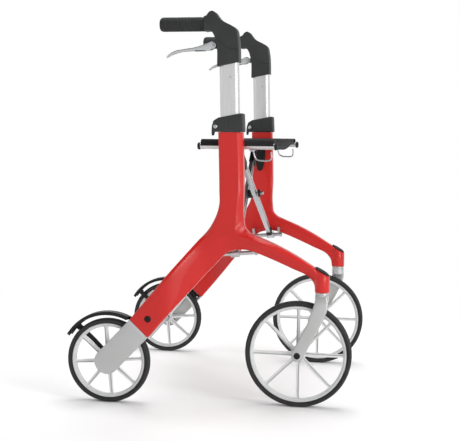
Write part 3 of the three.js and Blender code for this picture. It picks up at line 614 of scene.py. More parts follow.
def carve(made, cutters, operation="DIFFERENCE"):
    """Cuts (or joins) closed shapes out of an object for good."""
    for cutter in cutters:
        modifier = made.modifiers.new("carve", "BOOLEAN")
        modifier.operation = operation
        modifier.solver = "EXACT"
        modifier.object = cutter
    bpy.context.view_layer.update()
    result = bpy.data.meshes.new_from_object(made.evaluated_get(bpy.context.evaluated_depsgraph_get()))
    made.modifiers.clear()
    made.data = result
    result.validate()
    result.polygons.foreach_set("use_smooth", [True] * len(result.polygons))
    result.set_sharp_from_angle(angle=math.radians(30))
    for cutter in cutters:
        bpy.data.objects.remove(cutter)


def carved_pair(name, parts, look, stands_for, cutters, joined=(), **shape):
    """A pair whose pieces first have shapes joined to them and then cut out of them."""
    for side, sign in SIDES.items():
        piece = solid(f"{side}_{name}", parts, look, side=sign, **shape)
        if joined:
            carve(piece, [solid("joined", [part], look, side=sign) for part in joined], "UNION")
        carve(piece, [solid("cutter", [part], look, side=sign) for part in cutters])
        dress(piece, BODY_OF[f"{side}_{stands_for}"], [f"{side}_{stands_for}"])


def rectangle(low_x, high_x, low_z, high_z):
    return [(low_x, low_z), (high_x, low_z), (high_x, high_z), (low_x, high_z)]


def shifted(points, x, z):
    return [(x + a, z + b) for a, b in points]


# ---------------------------------------------------------------- side frames
def mix(a, b, t):
    return tuple(p + (q - p) * t for p, q in zip(a, b))


def tube_x(z):
    return TUBE_MIDDLE_X - (z - MAST_TOP_Z) * math.tan(TUBE_LEAN)


def mast_rear_x(z):
    return tube_x(z) - TUBE_LONG / 2 - 4


def mast_front_x(z):
    return tube_x(z) + TUBE_LONG / 2 + 6.5


def round_rear_axle(radius, degrees):
    angle = math.radians(degrees)
    return REAR_AXLE_X + radius * math.cos(angle), REAR_RADIUS + radius * math.sin(angle)


def head_slope_z(x):
    return HEAD_BOTTOM_Z + HEAD_HEIGHT + (x - HEAD_X) * HEAD_SLOPE


LEG_END_TOP = round_rear_axle(LEG_END_RADIUS, 61.5)
LEG_END_LOW = round_rear_axle(LEG_END_RADIUS, 31.5)


def frame_rows():
    """Rows of (silhouette x, z, outer face x, z) round the frame, and which of them are corners."""
    rear_hip, rear_hip_face = (-15, CROTCH_Z + 21), (-10, CROTCH_Z + 16.5)
    top_face = (LEG_END_TOP[0] + 3.5, LEG_END_TOP[1] - 3.5)
    low_face = (LEG_END_LOW[0] - 3.5, LEG_END_LOW[1] + 3.5)
    low_hip = (-9, CROTCH_Z - 70.5)
    low_slope = math.atan2(low_hip[1] - LEG_END_LOW[1], low_hip[0] - LEG_END_LOW[0])
    rows, corners = [], []

    def add(outline, face, corner=False):
        if corner:
            corners.append(len(rows))
        rows.append((*outline, *face))

    add((mast_rear_x(MAST_TOP_Z), MAST_TOP_Z), (mast_rear_x(MAST_TOP_Z) + 5, MAST_TOP_Z), corner=True)
    for height, back in ((140, 0), (109, 0.5), (92, 4.5), (70, 14), (48, 28)):
        z = CROTCH_Z + height
        add((mast_rear_x(z) - back, z), (mast_rear_x(z) - back + 5, z - back * 0.2))
    for i in range(5):
        add(mix(rear_hip, LEG_END_TOP, i / 4), mix(rear_hip_face, top_face, i / 4), corner=i == 4)
    for i in range(3):
        t = 0.26 * i
        add(mix(LEG_END_LOW, low_hip, t), mix(low_face, (low_hip[0] - 3.5, low_hip[1] + 3.5), t),
            corner=i == 0)
    for t, depth in ((0.64, 9.7), (0.76, 19), (0.88, 29), (1, 35)):
        x, z = mix(LEG_END_LOW, low_hip, t)
        add((x, z), (x - depth * math.sin(low_slope), z + depth * math.cos(low_slope)))
    for x, z, face_x, face_z in ((28, -30.5, 18, 15), (45, -12, 41, 30), (55, -4.5, 56, 35),
                                 (68, 0, 68, 36), (85.5, 2.5, 85, 33), (103, 1, 100, 29)):
        add((x, CROTCH_Z + z), (face_x, CROTCH_Z + face_z))
    low_rear, ridge_rear = (122, CROTCH_Z - 4.5), (123, CROTCH_Z + 21)
    low_front = (HEAD_X - HEAD_RADIUS - 13, head_slope_z(HEAD_X - HEAD_RADIUS) - 23)
    ridge_front = (HEAD_X - 21, head_slope_z(HEAD_X - 21) - 9)
    for i in range(4):
        bow = 4 * math.sin(math.pi * i / 3)
        low, ridge = mix(low_rear, low_front, i / 3), mix(ridge_rear, ridge_front, i / 3)
        add((low[0], low[1] + bow * 0.6), (ridge[0], ridge[1] + bow))
    add((HEAD_X - HEAD_RADIUS - 3, HEAD_BOTTOM_Z + 20), (HEAD_X - 9, HEAD_BOTTOM_Z + 31))
    add((HEAD_X - HEAD_RADIUS + 1, HEAD_BOTTOM_Z), (HEAD_X - 5, HEAD_BOTTOM_Z), corner=True)
    front = HEAD_X + HEAD_RADIUS - 1
    add((front, HEAD_BOTTOM_Z), (HEAD_X - 2, HEAD_BOTTOM_Z), corner=True)
    add((front, head_slope_z(front)), (HEAD_X - 3, HEAD_BOTTOM_Z + 33), corner=True)
    top_front, top_rear = (HEAD_X - 16, head_slope_z(HEAD_X - 16)), (119, CROTCH_Z + 36.5)
    for i in range(4):
        bow = 5 * math.sin(math.pi * i / 3)
        top, ridge = mix(top_front, top_rear, i / 3), mix(ridge_front, ridge_rear, i / 3)
        add((top[0], top[1] + bow), (ridge[0] + 1, ridge[1] + bow + 3))
    add((104, CROTCH_Z + 43.5), (101.5, CROTCH_Z + 32))
    add((94, CROTCH_Z + 55.5), (86, CROTCH_Z + 36))
    for height, inward, down in ((69, 1, 23), (85, 2, 16), (140, 0, 0)):
        z = CROTCH_Z + height
        x = mast_front_x(z) - inward
        add((x, z), (x - 11 - down * 0.25, z - down))
    add((mast_front_x(MAST_TOP_Z), MAST_TOP_Z), (mast_front_x(MAST_TOP_Z) - 11, MAST_TOP_Z), corner=True)
    return rows, corners


def smooth_step(t):
    t = min(max(t, 0), 1)
    return t * t * (3 - 2 * t)


def rear_sweep(x):
    return smooth_step((10 - x) / (10 - LEG_END_LOW[0] - 27))


def front_sweep(x):
    return smooth_step((x - 120) / (HEAD_X - HEAD_RADIUS - 120))


def frame_middle_y(x):
    return MAST_Y + (LEG_END_Y - MAST_Y) * rear_sweep(x) + (HEAD_Y - MAST_Y) * front_sweep(x)


def frame_half(x):
    thickness = FRAME_THICKNESS + (LEG_END_THICKNESS - FRAME_THICKNESS) * rear_sweep(x)
    return thickness / 2 - 1.5 * front_sweep(x)


def filled_face(loop, height):
    """A face inside a loop of (x, z) points, with points inside so that it can curve to y = height(x)."""
    spacing = 11
    loop = [Vector(point) for point in loop]
    points = list(loop)
    low = [min(p[i] for p in loop) for i in (0, 1)]
    high = [max(p[i] for p in loop) for i in (0, 1)]

    def inside(point):
        crossings = 0
        for a, b in zip(loop, loop[1:] + loop[:1]):
            if (a.y > point.y) != (b.y > point.y):
                crossings += point.x < a.x + (point.y - a.y) * (b.x - a.x) / (b.y - a.y)
        return crossings % 2 == 1

    for i in range(int((high[0] - low[0]) / spacing) + 1):
        for k in range(int((high[1] - low[1]) / spacing) + 1):
            point = Vector((low[0] + (i + 0.5 * (k % 2)) * spacing, low[1] + k * spacing))
            if inside(point) and min((point - p).length for p in loop) > spacing * 0.55:
                points.append(point)
    edges = [(i, (i + 1) % len(loop)) for i in range(len(loop))]
    flat, _, faces, *_ = geometry.delaunay_2d_cdt(points, edges, [], 1, 1e-4)
    return [(p.x, height(p.x), p.y) for p in flat], faces


def frame_parts():
    rows, corners = frame_rows()
    fillet, crease, rings = 3.2, 2.0, []
    for row in smooth_line(rows, 5.0, corners):
        x, z, face_x, face_z = row
        reach = math.hypot(face_x - x, face_z - z)
        inward = ((face_x - x) / reach, (face_z - z) / reach)
        depth = min(14.0, 0.9 * reach)
        if x < 30 and z < CROTCH_Z and reach > 5:
            depth = min(14.0, 4.5 + 0.32 * (reach - 5))  # the rear leg's lower facet rises gently
        t = min(0.4, crease / math.hypot(reach, depth))
        # inset from the outline, and how far below the inner (-1) or outer (1) face
        line = [(fillet, -1, 0), (fillet * 0.5, -1, fillet * 0.14), (fillet * 0.14, -1, fillet * 0.5),
                (0, -1, fillet),
                (0, 1, depth + crease), (t * reach * 0.25, 1, depth * (1 - t * 0.25) + crease * 0.2),
                (t * reach, 1, depth * (1 - t)), (reach * (1 - t), 1, depth * t),
                (reach * (1 - t * 0.25) + 0.35 * crease, 1, depth * t * 0.2), (reach + crease, 1, 0)]
        ring = []
        for inset, face, below in line:
            px, pz = x + inward[0] * inset, z + inward[1] * inset
            ring.append((px, frame_middle_y(px) + face * (frame_half(px) - below), pz))
        rings.append(ring)
    skin = loft(rings, capped=False, looped=True, closed=False)
    inner = filled_face([(ring[0][0], ring[0][2]) for ring in rings],
                        lambda x: frame_middle_y(x) - frame_half(x))
    outer = filled_face([(ring[-1][0], ring[-1][2]) for ring in rings],
                        lambda x: frame_middle_y(x) + frame_half(x))
    return [skin, inner, outer]


def on_tube_axis(part):
    """Puts a shape drawn about the handle tube's axis, from z = 0 at the mast's top, in its place."""
    return moved(turned(part, "Y", -TUBE_LEAN), (TUBE_MIDDLE_X, MAST_Y, MAST_TOP_Z))


BOLT_X, _, BOLT_Z = centre_mm("left_leg_bolt")
BOLT_FACE_Y = box_mm("left_leg_bolt")[1][1]


def side_frames():
    shell = frame_parts()
    reach = HEAD_RADIUS
    rings = []
    for height in (0, 1):
        ring = []
        for px, py in circle(reach, 48):
            x = HEAD_X + px
            ring.append((x, HEAD_Y + py, HEAD_BOTTOM_Z if height == 0 else head_slope_z(x)))
        rings.append(ring)
    head = loft(rings)
    bore = on_tube_axis(column(oval(TUBE_LONG + 1.6, TUBE_WIDE + 1.6), -141, 10))
    seat = moved(lathe([(8.2, -2.3), (8.2, 9)], 40), (BOLT_X, BOLT_FACE_Y, BOLT_Z))
    for side, sign in SIDES.items():
        piece = solid(f"{side}_frame_skin", shell, "red_paint", side=sign, weld=0.05)
        carve(piece, [solid("head", [head], "red_paint", side=sign, bevel=0.8, segments=2)], "UNION")
        carve(piece, [solid("bore", [bore], "red_paint", side=sign),
                      solid("seat", [seat], "red_paint", side=sign)])
        dress(piece, BODY_OF[f"{side}_side_frame"], [f"{side}_side_frame"])
    cap = []
    for lift, radius in ((0.3, 15.6), (2.6, 16.2), (4.0, 15.0), (4.6, 12.0), (4.4, 11.0), (4.4, 4.5),
                         (3.6, 4.0)):
        cap.append([(HEAD_X + px, HEAD_Y + py, head_slope_z(HEAD_X + px) + lift)
                    for px, py in circle(radius, 40)])
    pair("head_plug", [loft(cap)], "black_plastic", stands_for="head_cap")


side_frames()


# ---------------------------------------------------------------- wheels
SPOKE_TURN = {"front": 0, "rear": 5}  # degrees, how far each wheel has rolled


def tyre_profile(radius):
    """A round section with a flat tread, two fine grooves in it and a bead at the rim."""
    inner, half = radius - TYRE_DEPTH, TYRE_WIDTH / 2
    right = [(inner, half - 4), (inner + 0.6, half - 2.6), (inner + 2.6, half - 2.4),
             (inner + 3.0, half - 1.2),
             (inner + 4.6, half - 0.2), (radius - 4.6, half), (radius - 2.6, half - 0.9),
             (radius - 1.0, half - 2.9),
             (radius - 0.3, half - 4.6), (radius, half - 6.2), (radius, 3.6), (radius - 0.9, 3.2),
             (radius - 0.9, 2.4), (radius, 2.0)]
    return [*right, *[(r, -y) for r, y in reversed(right)]]


def rim_profile(radius):
    outer = radius - TYRE_DEPTH - 0.3
    inner, half = outer - 8, 8
    side = [(outer, half - 2), (outer - 0.6, half - 0.5), (outer - 1.8, half), (outer - 3.4, half),
            (outer - 4.2, half - 0.5),
            (outer - 5.0, half - 2.0), (inner + 0.8, half - 3.0), (inner, half - 4.2)]
    return [*side, *[(r, -y) for r, y in reversed(side)]]


def spoke(inner, hub):
    """One spoke along +X, wider towards the hub, with a deep slot beside one edge."""
    rings = []
    for t in (0, 0.1, 0.5, 0.9, 1):
        along = hub + (inner - hub) * t
        wide = 4.3 - 1.0 * t + (1.4 if t in (0, 1) else 0)
        deep = 5.2 - 1.4 * t
        groove, lip = deep - 3.0, 0.8
        right = [(wide, deep), (wide, -deep)]
        inner_lip = wide - lip - 2.0
        section = [(wide - lip, -deep), (wide - lip - 0.2, -groove), (inner_lip + 0.2, -groove),
                   (inner_lip, -deep),
                   (-wide, -deep), (-wide, deep), (inner_lip, deep), (inner_lip + 0.2, groove),
                   (wide - lip - 0.2, groove), (wide - lip, deep), *right]
        rings.append([(along, y, z) for z, y in section])
    return loft(rings)


def hub_profile(wide):
    side = [(5.4, wide), (8.5, wide), (9.2, wide - 0.5), (9.6, wide - 2.0), (13.4, wide - 2.6),
            (15, wide - 3.6), (15.4, wide - 5.5), (15.4, 0)]
    return [*side, *[(r, -y) for r, y in reversed(side[:-1])]]


def wheels():
    for end, hub, radius in (("front", (FRONT_AXLE_X, FRONT_WHEEL_Y, FRONT_RADIUS), FRONT_RADIUS),
                             ("rear", (REAR_AXLE_X, REAR_WHEEL_Y, REAR_RADIUS), REAR_RADIUS)):
        pair(f"{end}_wheel_tyre", [moved(lathe(tyre_profile(radius), 120, looped=True), hub)], "tyre",
             stands_for=f"{end}_tyre", smooth=38)
        inner = radius - TYRE_DEPTH - 8.3
        turn = math.radians(SPOKE_TURN[end])
        arms = [turned(spoke(inner + 2, 12), "Y", 2 * math.pi * i / 8 - turn) for i in range(8)]
        ring = lathe(rim_profile(radius), 120, looped=True)
        hub_part = lathe(hub_profile(12), 56, looped=True)
        pair(f"{end}_wheel_rim", [moved(part, hub) for part in (ring, hub_part, *arms)], "grey_plastic",
             stands_for=f"{end}_rim", smooth=34)


def capped_pin(radius, low, high, head_radius, head, socket=0.0, tail_radius=0.0, tail=0.0):
    """A turned pin along Y whose round head is at the high end, with a hex-size recess in it."""
    profile = [(0.01, low)]
    if tail:
        profile += [(tail_radius - 0.8, low), (tail_radius, low + 0.8), (tail_radius, low + tail),
                    (radius, low + tail)]
    else:
        profile += [(radius - 0.5, low), (radius, low + 0.5)]
    profile += [(radius, high - head), (head_radius, high - head), (head_radius, high - head * 0.45),
                (head_radius - 0.35 * head, high - 0.12 * head), (head_radius - 0.7 * head, high)]
    if socket:
        profile += [(socket + 0.3, high), (socket, high - 0.4), (socket, high - 1.2), (0.01, high - 1.4)]
    else:
        profile += [(0.01, high + 0.0)]
    return lathe(profile, 40)


def pin_pair(name, node, look, radius, head_radius, head, **more):
    low, high = box_mm(f"left_{node}")
    x, _, z = centre_mm(f"left_{node}")
    pair(name, [moved(capped_pin(radius, low[1], high[1], head_radius, head, **more), (x, 0, z))], look,
         stands_for=node, smooth=36)


wheels()
pin_pair("front_axle_bolt", "front_axle", "black_plastic", 5, 7.5, 3, socket=3.2, tail_radius=9, tail=4)
pin_pair("rear_axle_bolt", "rear_axle", "steel", 5, 5, 0.8, tail_radius=8, tail=3.5)
pin_pair("leg_screw", "leg_bolt", "black_plastic", 3, 7.5, 2, socket=3.2)
pin_pair("collar_screw", "height_lever_screw", "steel", 2.5, 4.5, 2, socket=1.8, tail_radius=4.5, tail=2)
pin_pair("lever_screw", "brake_lever_pin", "steel", 2.5, 4, 1.5, socket=1.6, tail_radius=4, tail=1.5)


# ---------------------------------------------------------------- front forks
BLADE_HALF = 14.5


def forks():
    inner = FRONT_WHEEL_Y + 15
    outer = inner + 10
    crown_top = CROWN_BOTTOM_Z + 22
    crown = [(0.01, CROWN_BOTTOM_Z), (14.6, CROWN_BOTTOM_Z), (16, CROWN_BOTTOM_Z + 1.4),
             (16, crown_top - 6.2),
             (15.2, crown_top - 5.6), (15.2, crown_top - 4.6), (16, crown_top - 4.0),
             (16, crown_top - 1.0), (15.2, crown_top), (0.01, crown_top)]
    verts, faces = lathe(crown, 64)
    crown_part = [(HEAD_X + x, HEAD_Y + z, y) for x, y, z in verts], faces
    # stations down the blade: front x, rear x, z, inner y, outer y
    stations = [
        (HEAD_X + 12.5, HEAD_X - 12.5, crown_top - 7, HEAD_Y - 2, HEAD_Y + 14.6),
        (HEAD_X + 14.2, HEAD_X - 14.2, CROWN_BOTTOM_Z + 10, HEAD_Y + 1, outer - 4.3),
        (HEAD_X + 15.2, HEAD_X - 15.0, CROWN_BOTTOM_Z + 4, HEAD_Y + 5, outer - 2.0),
        (HEAD_X + 15.6, HEAD_X - 15.8, CROWN_BOTTOM_Z - 2, inner - 2.2, outer - 0.6),
        (HEAD_X + 15.2, HEAD_X - 18.5, CROWN_BOTTOM_Z - 10, inner, outer),
        (HEAD_X + 12.6, HEAD_X - 22, CROWN_BOTTOM_Z - 22, inner, outer),
        (HEAD_X + 6.5, HEAD_X - 29, CROWN_BOTTOM_Z - 37, inner, outer),
    ]
    end = []
    slope = math.radians(63)
    for t in (0.0, 0.35, 0.68, 0.86):
        width = BLADE_HALF
        along = Vector((math.cos(slope), math.sin(slope)))
        across = Vector((math.sin(slope), -math.cos(slope)))
        start = Vector((HEAD_X - 13, CROWN_BOTTOM_Z - 42)) - along * 14 + across * 1.5
        middle = start.lerp(Vector((FRONT_AXLE_X, FRONT_RADIUS)), t)
        end.append((middle + across * width, middle - across * width))
    rings = []
    section = 4
    for front, rear, z, low, high in stations:
        middle, half = (front + rear) / 2, (front - rear) / 2
        ring = rounded_box(half, (high - low) / 2, 4.5, section)
        rings.append([(middle + a, (low + high) / 2 + b, z) for a, b in ring])
    for a, b in end:
        middle, half = (a + b) / 2, (a - b).length / 2
        direction = (a - b).normalized()
        ring = rounded_box(half, 5, 4.0, section)
        rings.append([(middle.x + direction.x * u, (inner + outer) / 2 + v, middle.y + direction.y * u)
                      for u, v in ring])
    along = Vector((math.cos(slope), math.sin(slope)))
    across = Vector((math.sin(slope), -math.cos(slope)))
    for turn in (0, 22, 42, 58, 71, 81, 87):
        angle = math.radians(turn)
        middle = Vector((FRONT_AXLE_X, FRONT_RADIUS)) - along * BLADE_HALF * math.sin(angle)
        half = BLADE_HALF * math.cos(angle)
        ring = rounded_box(max(half, 1), 5 if turn < 71 else 5 - (turn - 65) * 0.11, 4.0, section)
        rings.append([(middle.x + across.x * u, (inner + outer) / 2 + v,
                       middle.y + across.y * u) for u, v in ring])
    blade = loft(rings)
    boss = moved(lathe([(0.01, 0), (10.5, 0), (10.5, 10.0), (9.8, 10.3), (0.01, 10.3)], 48),
                 (FRONT_AXLE_X, inner, FRONT_RADIUS))
    pair("fork_blade", [crown_part, blade, boss], "silver_paint", stands_for="fork", smooth=40)


forks()


# ---------------------------------------------------------------- rear leg plates, mudguards and brake shoes
LEG_ANGLE = math.radians(46.5)
LEG_MIDDLE = mix(LEG_END_TOP, LEG_END_LOW, 0.5)
PLATE_OUTER_Y = LEG_END_Y + LEG_END_THICKNESS / 2 - 1
PLATE_INNER_Y = PLATE_OUTER_Y - 8


def on_leg(along, across):
    """A point given along the leg from its end and across it towards the rear."""
    dx, dz = math.cos(LEG_ANGLE), math.sin(LEG_ANGLE)
    return LEG_MIDDLE[0] + dx * along - dz * across, LEG_MIDDLE[1] + dz * along + dx * across


def rear_plates():
    outline = [on_leg(-0.3, 30), *arc(REAR_AXLE_X, REAR_RADIUS, 30, 135, 315, 36), on_leg(-0.3, -30)]
    plate = slab(outline, PLATE_INNER_Y, PLATE_OUTER_Y)
    pair("leg_plate", [plate], "silver_paint", stands_for="rear_leg_plate", bevel=2.4, segments=4,
         sharper_than=60)
    shoe_x, shoe_z = round_rear_axle(REAR_RADIUS + 9, 35)
    band = [on_leg(-0.3, 29.2), on_leg(-9, 29.8), on_leg(-9, -29.8), on_leg(-0.3, -29.2)]
    pair("leg_plate_band", [slab(band, PLATE_OUTER_Y - 1, PLATE_OUTER_Y + 0.7)], "bright_metal",
         rides_with="rear_leg_plate", bevel=0.6, segments=2)
    pin = lathe([(0.01, REAR_WHEEL_Y - 10), (2, REAR_WHEEL_Y - 10), (2.5, REAR_WHEEL_Y - 9.5),
                 (2.5, PLATE_INNER_Y + 1), (0.01, PLATE_INNER_Y + 1)], 24)
    pair("shoe_pin", [moved(pin, (shoe_x, 0, shoe_z))], "steel", rides_with="rear_leg_plate")
    for side in SIDES:
        refined(f"{side}_brake_shoe", 0.8)


STAY_SHIFT = -5  # the stay's middle, below the line from the axle


def mudguards():
    radius, thick, half, tail = REAR_RADIUS + 13, 4, 13, 149.5
    hub_inner = REAR_WHEEL_Y - 14
    rings = []
    steps = 64
    for i in range(steps + 1):
        t = i / steps
        angle = math.radians(60 + (tail - 60) * t)
        close = max(0.0, (t - 0.93) / 0.07)
        wide = half * (1 - 0.16 * close**2) if t > 0.02 else half * 0.86
        leg_side = min(half, LEG_END_Y - LEG_END_THICKNESS / 2 - 1 - REAR_WHEEL_Y) if t < 0.05 else wide
        section = []
        for low, edge in ((radius, -1), (radius + thick, 1)):
            for k in range(13):
                u = -1 + 2 * k / 12
                across = (wide if u < 0 else leg_side) * u
                drop = 4.2 * max(0, (abs(u) - 0.72) / 0.28) ** 1.6
                rise = low - drop + (0.5 if edge > 0 and abs(abs(u) - 0.82) < 0.09 else 0)
                section.append((across, min(rise, radius + thick)))
            if edge < 0:
                lower = section
                section = []
        ring = lower + section[::-1]
        rings.append([(REAR_AXLE_X + r * math.cos(angle), REAR_WHEEL_Y + y,
                       REAR_RADIUS + r * math.sin(angle))
                      for y, r in ring])
    sheet = loft(rings)
    tail_block = slab(arc(REAR_AXLE_X, REAR_RADIUS, radius + 3.6, tail - 4.5, tail - 0.4, 3)
                      + arc(REAR_AXLE_X, REAR_RADIUS, radius - 2.4, tail - 0.4, tail - 4.5, 3),
                      REAR_WHEEL_Y - 12.2, REAR_WHEEL_Y + 12.2)
    stay_turn = math.radians(139)

    def on_stay(along, across):
        across += STAY_SHIFT * min(1, along / 30)
        return (REAR_AXLE_X + along * math.cos(stay_turn) - across * math.sin(stay_turn),
                REAR_RADIUS + along * math.sin(stay_turn) + across * math.cos(stay_turn))

    arm = [on_stay(2, 6.4), on_stay(60, 5.2), on_stay(radius - 3, 6.2), on_stay(radius + 1.5, 7.5),
           on_stay(radius + 1.5, -7.5), on_stay(radius - 3, -6.2), on_stay(60, -5.2), on_stay(2, -6.4)]
    eye = moved(lathe([(5.3, hub_inner - 4), (9, hub_inner - 4), (9, hub_inner), (5.3, hub_inner)], 40,
                      looped=True),
                (REAR_AXLE_X, 0, REAR_RADIUS))
    foot = [on_stay(radius - 11, 6), on_stay(radius + 1, 6), on_stay(radius + 1, -6),
            on_stay(radius - 11, -6)]
    arm_far = slab([on_stay(7.4, 5.6), *arm[1:-1], on_stay(7.4, -5.6)], hub_inner - 4, hub_inner)
    rib = slab([on_stay(14, 1.4), on_stay(radius - 8, 1.4), on_stay(radius - 8, -1.4), on_stay(14, -1.4)],
               hub_inner - 5.0, hub_inner - 2)
    pair("guard", [sheet, tail_block], "black_plastic", stands_for="mudguard", bevel=0.7, segments=2,
         sharper_than=50)
    pair("guard_stay", [eye, arm_far, rib, slab(foot, hub_inner - 3.5, REAR_WHEEL_Y - half + 6)],
         "black_plastic", rides_with="mudguard", bevel=0.6, segments=2, sharper_than=50)


rear_plates()
mudguards()


# ---------------------------------------------------------------- collars, handle tubes, brackets, grips
LEVER_X = tube_x(MAST_TOP_Z + 13) - TUBE_LONG / 2 - 9
LEVER_Z = MAST_TOP_Z + 13
COLLAR_HALF = 18.5


def collars():
    low = MAST_TOP_Z + 0.3
    rear, front = tube_x(low) - TUBE_LONG / 2 - 16, tube_x(low) + TUBE_LONG / 2 + 10
    outline = [(rear, low), (front, low), (front - 0.3, low + 8), (front - 2, MAST_TOP_Z + 43),
               (front - 6, MAST_TOP_Z + 43.5), (rear + 13, MAST_TOP_Z + 33.5),
               (rear + 4, MAST_TOP_Z + 28), (rear + 1, MAST_TOP_Z + 25.5), (rear, MAST_TOP_Z + 22)]
    body = slab(outline, MAST_Y - COLLAR_HALF, MAST_Y + COLLAR_HALF)
    bore = on_tube_axis(column(oval(TUBE_LONG + 0.6, TUBE_WIDE + 0.6), -20, 60))
    slot = slab(rectangle(rear - 5, LEVER_X + 7.5, low - 5, LEVER_Z + 12.5), MAST_Y - 9.3, MAST_Y + 9.3)
    groove = []
    for y in (MAST_Y - COLLAR_HALF - 1, MAST_Y + COLLAR_HALF - 0.7):
        groove.append(slab([(front - 34, low + 6), (front - 33, low + 6), (front - 36, MAST_TOP_Z + 39),
                            (front - 37, MAST_TOP_Z + 39)],
                           y, y + 1.7))
    carved_pair("collar_body", [body], "dark_plastic", "height_collar", (bore, slot, *groove),
                bevel=3.2, segments=4, sharper_than=35)
    flap = [(-9.5, 6), (-6.5, 7), (-2, 6.4), (3, 5.6), (6.2, 2), (6.2, -2), (3, -5.6), (-3, -6.4),
            (-5.4, -12), (-8, -21), (-10.5, -21), (-11, -12), (-10.6, -3)]
    lever = slab(shifted(flap, LEVER_X, LEVER_Z), MAST_Y - 9, MAST_Y + 9)
    pair("clamp_lever", [lever], "dark_plastic", stands_for="height_lever", bevel=1.0, segments=2,
         sharper_than=50)


def handle_tubes():
    low, high = -25, 165
    outer, inner = oval(TUBE_LONG, TUBE_WIDE, 16), oval(TUBE_LONG - 4, TUBE_WIDE - 4, 16)
    rings = [[(x, y, low) for x, y in outer], [(x, y, high) for x, y in outer],
             [(x, y, high) for x, y in inner], [(x, y, low) for x, y in inner]]
    tube = on_tube_axis(loft(rings, looped=True))
    pair("push_tube", [tube], "silver_tube", stands_for="handle_tube", smooth=25)
    button = []
    for y in (-TUBE_WIDE / 2 - 0.15, TUBE_WIDE / 2 - 0.95):
        button.append(on_tube_axis(moved(lathe([(0.01, 0), (2.4, 0), (2.8, 0.3), (2.8, 1.0), (0.01, 1.1)],
                                               28), (4, y, 126))))
    pair("tube_button", button, "steel", rides_with="handle_tube")


BRACKET_BACK_X = tube_x(GRIP_Z - 97) - TUBE_LONG / 2 - 3
BRACKET_REAR_X = BRACKET_BACK_X - 32
BRAKE_X, _, BRAKE_Z = centre_mm("left_brake_lever_pin")


def brackets():
    rear, bottom = BRACKET_BACK_X, GRIP_Z - 97
    front = tube_x(bottom) + TUBE_LONG / 2 + 2
    top = open_line([(BRACKET_REAR_X, GRIP_Z + 16.5), (rear - 26, GRIP_Z + 19),
                     (rear - 20, GRIP_Z + 26.4),
                     (rear - 13, GRIP_Z + 29), (rear - 6, GRIP_Z + 25.6), (rear + 2, GRIP_Z + 15),
                     (rear + 12, GRIP_Z + 6),
                     (front - 10, GRIP_Z - 10), (front - 3.4, GRIP_Z - 30), (front - 1, GRIP_Z - 52),
                     (front, bottom + 10)], 5)
    under = open_line([(rear, bottom), (rear, bottom + 34), (rear - 3, GRIP_Z - 42),
                       (rear - 8, GRIP_Z - 26), (rear - 16, GRIP_Z - 16.5),
                       (BRACKET_REAR_X, GRIP_Z - 16.5)], 5)
    outline = [(p.x, p.y) for p in top + under]
    body = slab(outline, MAST_Y - 17, MAST_Y + 17)
    socket = on_tube_axis(column(oval(TUBE_LONG + 0.6, TUBE_WIDE + 0.6), 120, 166))
    # the joint line between the bracket's two halves curves across each cheek
    seam_path = open_line([(rear - 1, GRIP_Z - 36), (rear + 9, GRIP_Z - 42), (rear + 22, GRIP_Z - 54),
                           (front + 1, GRIP_Z - 60)], 8)
    seams = []
    for y in (MAST_Y - 17, MAST_Y + 17):
        seams.append(sweep([Vector((p.x, y, p.y)) for p in seam_path], circle(0.75, 8)))
    lug = [(BRAKE_X, BRAKE_Z - 5), (rear + 4, BRAKE_Z - 8), (rear + 4, BRAKE_Z + 8),
           (BRAKE_X, BRAKE_Z + 5), *arc(BRAKE_X, BRAKE_Z, 5, 110, 250, 8)]
    carved_pair("bracket_body", [body], "dark_plastic", "handle_bracket", (socket, *seams),
                bevel=6.5, segments=6, sharper_than=60, smooth=40)
    pair("lever_lug", [slab(lug, MAST_Y - 5, MAST_Y + 5)], "dark_plastic", rides_with="handle_bracket",
         bevel=0.8, segments=2, sharper_than=60)


def grips():
    low, high = box_mm("left_grip")
    length = high[0] - low[0]
    profile = [(0.01, 0), (8.5, 0), (12.0, 0.8), (14.6, 2.6), (16.0, 5.6), (16.5, 9.0)]
    ribs = 9
    for i in range(ribs):
        start = 18 + i * 7.2
        profile += [(16.5, start), (16.1, start + 0.5), (16.1, start + 1.1), (16.5, start + 1.6)]
    profile += [(16.5, length - 7.6), (15.6, length - 7.0), (15.6, length - 5.4), (16.5, length - 4.8),
                (16.5, length - 0.6), (16.0, length), (0.01, length)]
    verts, faces = lathe(profile, 72)
    part = [(low[0] + y, MAST_Y + x, GRIP_Z + z) for x, y, z in verts], faces
    pair("grip_sleeve", [part], "rubber", stands_for="grip", smooth=40)


